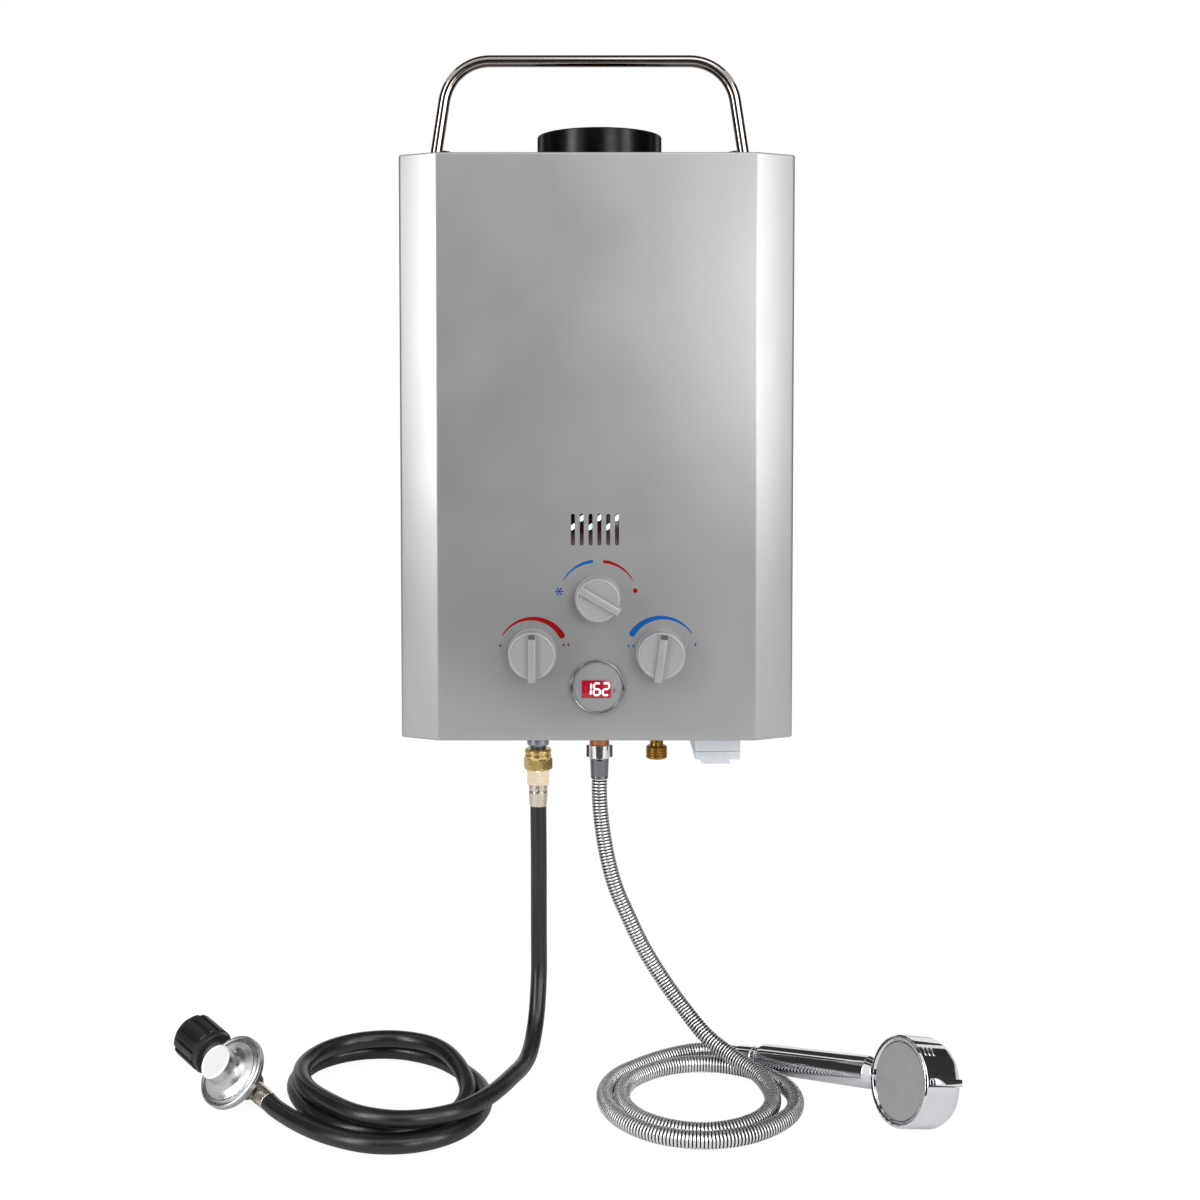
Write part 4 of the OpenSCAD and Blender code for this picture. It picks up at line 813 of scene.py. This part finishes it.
here = under(outlet["x"])
bm = bmesh.new()
lathe(bm, [(4.5, -435)] + threadLine(6.5, -435, -427.4, 0.4) + [
    (6.4, -427), (7.8, -427, 0.3), (7.8, case["bottom"]), (6.5, case["bottom"]), (6.5, case["bottom"] + 2),
    (4.5, case["bottom"] + 2)], 64, True, here)
keep("outletStub", bm, copper, standsFor=("water_outlet",))
bm = bmesh.new()
rings = []
for z, pull, lugs in outlet["levels"]:
    radii = []
    for k in range(outlet["turns"]):
        off = (2 * pi * k / outlet["turns"] + pi / 4) % (pi / 2) - pi / 4  # turn from the nearest lug
        onLug = lugs and abs(outlet["lug"] * sin(off)) < outlet["lugWidth"] / 2
        radii.append(outlet["lug"] if onLug else outlet["nut"] - pull)
    rings.append(hoop(bm, radii, z, here))
rings += [hoop(bm, [bore] * outlet["turns"], z, here) for bore, z in outlet["bore"]]
skin(bm, rings)
keep("showerNutShell", bm, chrome, standsFor=("shower_hose_nut",))
bm = bmesh.new()
lathe(bm, [(3.5, -454), (6.7, -454, 0.3), (6.95, -452.8, 0.4), (6.85, -452.2, 0.2), (7.4, -439.2, 0.4),
           (7.4, -438), (5, -438), (5, -435), (3.5, -435)], 64, True, here)
keep("showerSleeveShell", bm, darkChrome, standsFor=("shower_hose_sleeve",))

# cold water inlet, with its ridged nut
inlet = {"x": 47, "ridges": 4, "firstRidge": -436.6, "ridgePitch": 2.0}

line = [(6, -438), (7.4, -438, 0.3), (8.2, -437.2, 0.4)]
for z in [inlet["firstRidge"] + inlet["ridgePitch"] * k for k in range(inlet["ridges"])]:
    line += [(8.3, z, 0.2), (8.3, z + 1.2, 0.2), (7.7, z + 1.5, 0.2), (7.7, z + 1.8, 0.2)]
line += [(8.1, -428.6, 0.4), (7.2, -427.9, 0.3), (5.3, -427.9, 0.2), (5.1, -424), (5.1, -385), (3.5, -385),
         (3.5, -429), (6, -429)]
bm = bmesh.new()
lathe(bm, line, 72, True, under(inlet["x"]))
keep("inletStub", bm, oldBrass, standsFor=("water_inlet",))

eased("battery_box", "batteryCase", cloudyPlastic, 0.6)
eased("battery_lid", "batteryDoor", cloudyPlastic, 0.6, "battery_door")
print("water fittings and battery box done")

# regulator
regulator = {
    "centre": 37, "rim": 13, "dome": 27, "bell": 12.7, "bellTop": 33.7, "hex": (17.6, 58, 67),
    "nutStart": 78, "nutLength": 35, "nutRadius": 17.5, "socket": 14.25, "socketFoot": 9,
    "turns": 216, "ribs": 12, "groove": (1.9, 5),  # a groove's depth, and how many steps it takes
}
spine = regulatorPlace @ alongX
domeAt = regulatorPlace @ put(regulator["centre"], 0, 0)

bm = bmesh.new()
lathe(bm, [(2.5, 18), (5, 18, 0.2), (5, 21.5, 0.4), (8.2, 22, 0.6), (10.8, 25, 1.5), (11, 50, 1.5),
           (9.4, 54, 1.0), (8.6, 55, 0.6), (8.6, 68, 0.5), (10.9, 69.4, 0.5), (10.9, 82), (7, 82), (7, 87),
           (2.5, 87)], 64, True, spine)
hexBody(bm, *regulator["hex"], 6, spine, 9.6)
lathe(bm, [(0, 0), (15, 0, 1), (18, 4, 2), (20, 8.6, 1), (25.6, 8.8, 0.8), (26.9, 9.8, 0.8), (26.9, 12.4, 0.5),
           (26, 13), (0, 13)], 96, place=domeAt)
keep("regulatorCasting", bm, castZinc, standsFor=("regulator_body",))
bm = bmesh.new()
d, b, rim, top = regulator["dome"], regulator["bell"], regulator["rim"], regulator["bellTop"]
lathe(bm, [(0, rim), (d, rim), (d, rim + 1.8, 0.8), (d - 1.6, rim + 2.4, 0.7), (d - 2.4, rim + 1.5, 0.4),
           (d - 3.2, rim + 1.6, 0.4), (d - 4.0, rim + 3.0, 0.7), (d - 5.2, rim + 3.1, 0.5), (19.4, rim + 4.3, 2.5),
           (b + 3.9, rim + 5.8, 2), (b + 1.2, rim + 8.6, 2), (b + 0.2, rim + 11.5, 1), (b, top - 1.2, 0.9),
           (b - 1.2, top, 0.3), (b - 2.0, top - 0.35, 0.2), (0, top - 0.3)], 96, place=domeAt)
toDome = domeAt.inverted()
for face in bm.faces:  # the cap on the bell is white
    face.material_index = int(all((toDome @ v.co).z > (top - 1.4) * mm for v in face.verts))
keep("regulatorDome", bm, [domeZinc, capZinc], standsFor=("regulator_bell",))

bm = bmesh.new()
start, far, turns = regulator["nutStart"], regulator["nutStart"] + regulator["nutLength"], regulator["turns"]
step, (deep, wide) = turns // regulator["ribs"], regulator["groove"]
grooves = [deep if k % step < wide else 0.8 if k % step in (wide, step - 1) else 0 for k in range(turns)]
rings = []
for x, pull, grooved in (  # place along the nut, how far the face is pulled in, and whether it is grooved
        (start, 2.2, 0), (start + 0.5, 1.5, 0), (start + 5, 0.9, 0), (start + 5.6, 0, 1), (far - 2.5, 0, 1),
        (far - 1.4, 0.7, 1), (far - 0.4, 1.6, 0), (far, 2.6, 0)):
    rings.append(hoop(bm, [regulator["nutRadius"] - pull - grooved * groove for groove in grooves], x, spine))
socket, foot = regulator["socket"], start + regulator["socketFoot"]
for r, x in ((socket + 1, far), (socket, far - 0.8), (socket, foot), (7.05, foot), (7.05, start + 4.05),
             (11.05, start + 4.05), (11.05, start)):
    rings.append(hoop(bm, [r] * turns, x, spine))
skin(bm, rings)
keep("handNutShell", bm, gripBlack, "cylinder_nut", ("regulator_nut",))
print("regulator done")

# hand shower
shower = {
    "radius": 31.5, "deep": 36, "face": 26.4, "bars": (4.5, 8.2, 11.9), "barTurn": 150,
    "nozzleRings": 8, "nozzlePitch": 3.08, "nozzle": [(0, 0), (0.5, 0), (0.4, 0.3), (0, 0.32)],
}
gripAxis = gripPlace @ alongX

bm = bmesh.new()
lathe(bm, [(3.5, 0), (7.2, 0, 0.5), (7.8, 0.9, 0.3), (7.8, 15.5, 0.3), (7.3, 15.9, 0.2), (7.3, 17.2, 0.2),
           (7.8, 17.6, 0.3), (7.8, 20, 0.3), (7.1, 20.4, 0.2), (7.1, 24), (3.5, 24)], 64, True, gripAxis)
keep("endNutShell", bm, chrome, standsFor=("shower_end_nut",))
bm = bmesh.new()
lathe(bm, [(5, 24), (9.6, 24, 0.6), (10.6, 25.2, 0.8), (10.8, 28), (11.1, 70), (11.5, 110), (11.6, 127, 3),
           (9.2, 133, 3), (9, 140), (5, 140)], 72, True, gripAxis, 5)
keep("gripShell", bm, chrome, standsFor=("shower_handle",))
bm = bmesh.new()
r, half, face = shower["radius"], shower["deep"] / 2, shower["face"]
lathe(bm, [(0, -half), (r - 9, -half, 3), (r - 3, -half + 3.2, 4), (r - 0.2, -half + 9, 3), (r, half - 3, 0.4),
           (r, half - 1.2, 1.0), (r - 1.3, half, 0.8), (r - 3.6, half - 0.2, 1.2), (face + 0.3, half - 1.9, 0.4),
           (face + 0.3, half - 5), (0, half - 5)], 128, place=headPlace)
for z in shower["bars"]:  # three short ribs on top of the drum
    block(bm, (r - 1, -3.6, z), (r + 0.4, 3.6, z + 1.7), 0.35, headPlace @ turned(shower["barTurn"], "Z"))
keep("headShell", bm, chrome, standsFor=("shower_head",))
bm = bmesh.new()
lathe(bm, [(0, half - 5), (face, half - 5), (face, half - 1.5, 0.5), (face - 1, half - 1.05, 0.3),
           (0, half - 1.0)], 96, place=headPlace)
keep("sprayPlate", bm, faceGrey, standsFor=("shower_face",))
bm = bmesh.new()
for row in range(1, shower["nozzleRings"] + 1):
    out = row * shower["nozzlePitch"]
    for k in range(row * 6):
        turn = 2 * pi * k / (row * 6)
        lathe(bm, shower["nozzle"], 8, place=headPlace @ put(out * cos(turn), out * sin(turn), half - 1.2))
keep("sprayNozzles", bm, nozzleGrey)
eased("shower_lever", "sprayLever", chrome, 0.4, "spray_selector")
print("hand shower done")

# pieces inside the case keep their CAD shape
inside = {
    "flue_hood": zinc, "exchanger_shell": copper, "exchanger_fins": copper, "exchanger_coil": copper,
    "burner_frame": zinc, "burner_bars": burnerSteel, "gas_manifold": castZinc, "electrodes": ceramic,
    "thermal_sensors": moduleBlack, "gas_valve_body": castZinc, "gas_solenoid": oldBrass, "gas_pipe": castZinc,
    "water_valve_body": oldBrass, "valve_cover": oldBrass, "push_rod": plated, "micro_switch": moduleBlack,
    "season_valve": castZinc, "cold_pipe": copper, "hot_pipe": copper, "igniter_box": moduleBlack,
    "battery_cells": cellWrap, "battery_contacts": plated, "ignition_leads": leadRed,
}
for node, look in inside.items():
    coat(node, look)

# studio
studio = {
    "floor": -0.6807, "floorSize": 30, "floorGlow": 1.09, "glowShare": 0.86, "light": 0.52, "dark": 0.03,
    "flags": {  # place, size and turn of the dark cards that only reflections show
        "frontFlag": ((-0.5, -2.6, 0.25), (1.8, 2.0), (90, 0, 0)),
        "leftFlag": ((-1.25, 0.13, 0.1), (1.75, 1.7), (90, 0, 90)),
        "rightFlag": ((1.25, 0.13, 0.1), (1.75, 1.7), (90, 0, 90)),
        "topFlag": ((0, 0.4, 1.35), (2.2, 1.7), (0, 0, 0)),
        "backFlag": ((0, 1.5, 0.7), (2.6, 1.4), (90, 0, 0)),
        "lowFlag": ((0, -1.6, -0.66), (2.2, 1.4), (0, 0, 0)),
    },
    "lamps": {  # place, size, power and the point it faces
        "leftStrip": ((-1.35, -1.15, 0.25), (0.4, 1.5), 15, (0, -0.1, -0.15)),
        "rightStrip": ((1.35, -1.15, 0.25), (0.4, 1.5), 10.5, (0, -0.1, -0.15)),
        "key": ((0.5, -1.6, 1.7), (1.2, 0.8), 7, (0, -0.1, -0.2)),
        "soft": ((0.85, -2.25, 0.25), (0.7, 1.0), 10, (0.05, -0.1, -0.1)),
    },
}


def plane(name, place, size, turn, look):
    mesh = bpy.data.meshes.new(name)
    x, y = size[0] / 2, size[1] / 2
    mesh.from_pydata([(-x, -y, 0), (x, -y, 0), (x, y, 0), (-x, y, 0)], [], [(0, 1, 2, 3)])
    mesh.materials.append(look)
    piece = bpy.data.objects.new(name, mesh)
    piece.location = place
    piece.rotation_euler = [radians(a) for a in turn]
    bpy.context.collection.objects.link(piece)
    return piece


# the floor is white to the camera, with a soft shadow
floorLook, floorShader = finish("floorLook", (0.9, 0.9, 0.9), 0, 0.9)
nodes, links = floorLook.node_tree.nodes, floorLook.node_tree.links
white = nodes.new("ShaderNodeEmission")
white.inputs["Color"].default_value = (1, 1, 1, 1)
white.inputs["Strength"].default_value = studio["floorGlow"]
share = nodes.new("ShaderNodeMapRange")
share.inputs["To Max"].default_value = studio["glowShare"]
mix = nodes.new("ShaderNodeMixShader")
links.new(nodes.new("ShaderNodeLightPath").outputs["Is Camera Ray"], share.inputs["Value"])
links.new(share.outputs["Result"], mix.inputs["Fac"])
links.new(floorShader.outputs["BSDF"], mix.inputs[1])
links.new(white.outputs["Emission"], mix.inputs[2])
links.new(mix.outputs["Shader"], nodes["Material Output"].inputs["Surface"])
plane("floor", (0, 0, studio["floor"]), (studio["floorSize"],) * 2, (0, 0, 0), floorLook)

world = bpy.data.worlds.new("room")  # an even light, seen as white by the camera, metal and glass
bpy.context.scene.world = world
world.use_nodes = True
nodes, links = world.node_tree.nodes, world.node_tree.links
lit = nodes["Background"]
lit.inputs["Color"].default_value = (1, 1, 1, 1)
lit.inputs["Strength"].default_value = studio["light"]
white = nodes.new("ShaderNodeBackground")
white.inputs["Color"].default_value = (1, 1, 1, 1)
rays = nodes.new("ShaderNodeLightPath")
seen = rays.outputs["Is Camera Ray"]
for kind in ("Is Glossy Ray", "Is Transmission Ray"):
    either = nodes.new("ShaderNodeMath")
    either.operation = "MAXIMUM"
    links.new(seen, either.inputs[0])
    links.new(rays.outputs[kind], either.inputs[1])
    seen = either.outputs[0]
mix = nodes.new("ShaderNodeMixShader")
links.new(seen, mix.inputs["Fac"])
links.new(lit.outputs["Background"], mix.inputs[1])
links.new(white.outputs["Background"], mix.inputs[2])
links.new(mix.outputs["Shader"], nodes["World Output"].inputs["Surface"])

cardLook = finish("cardLook", (studio["dark"],) * 3, 0, 0.9)[0]
for name, (place, size, turn) in studio["flags"].items():
    flag = plane(name, place, size, turn, cardLook)
    flag.visible_camera = flag.visible_diffuse = flag.visible_shadow = flag.visible_transmission = False

for name, (place, size, power, aim) in studio["lamps"].items():
    data = bpy.data.lights.new(name, "AREA")
    data.shape = "RECTANGLE"
    data.size, data.size_y = size
    data.energy = power
    lamp = bpy.data.objects.new(name, data)
    lamp.location = place
    lamp.rotation_euler = (Vector(aim) - Vector(place)).to_track_quat("-Z", "Y").to_euler()
    bpy.context.collection.objects.link(lamp)
print("studio lit")
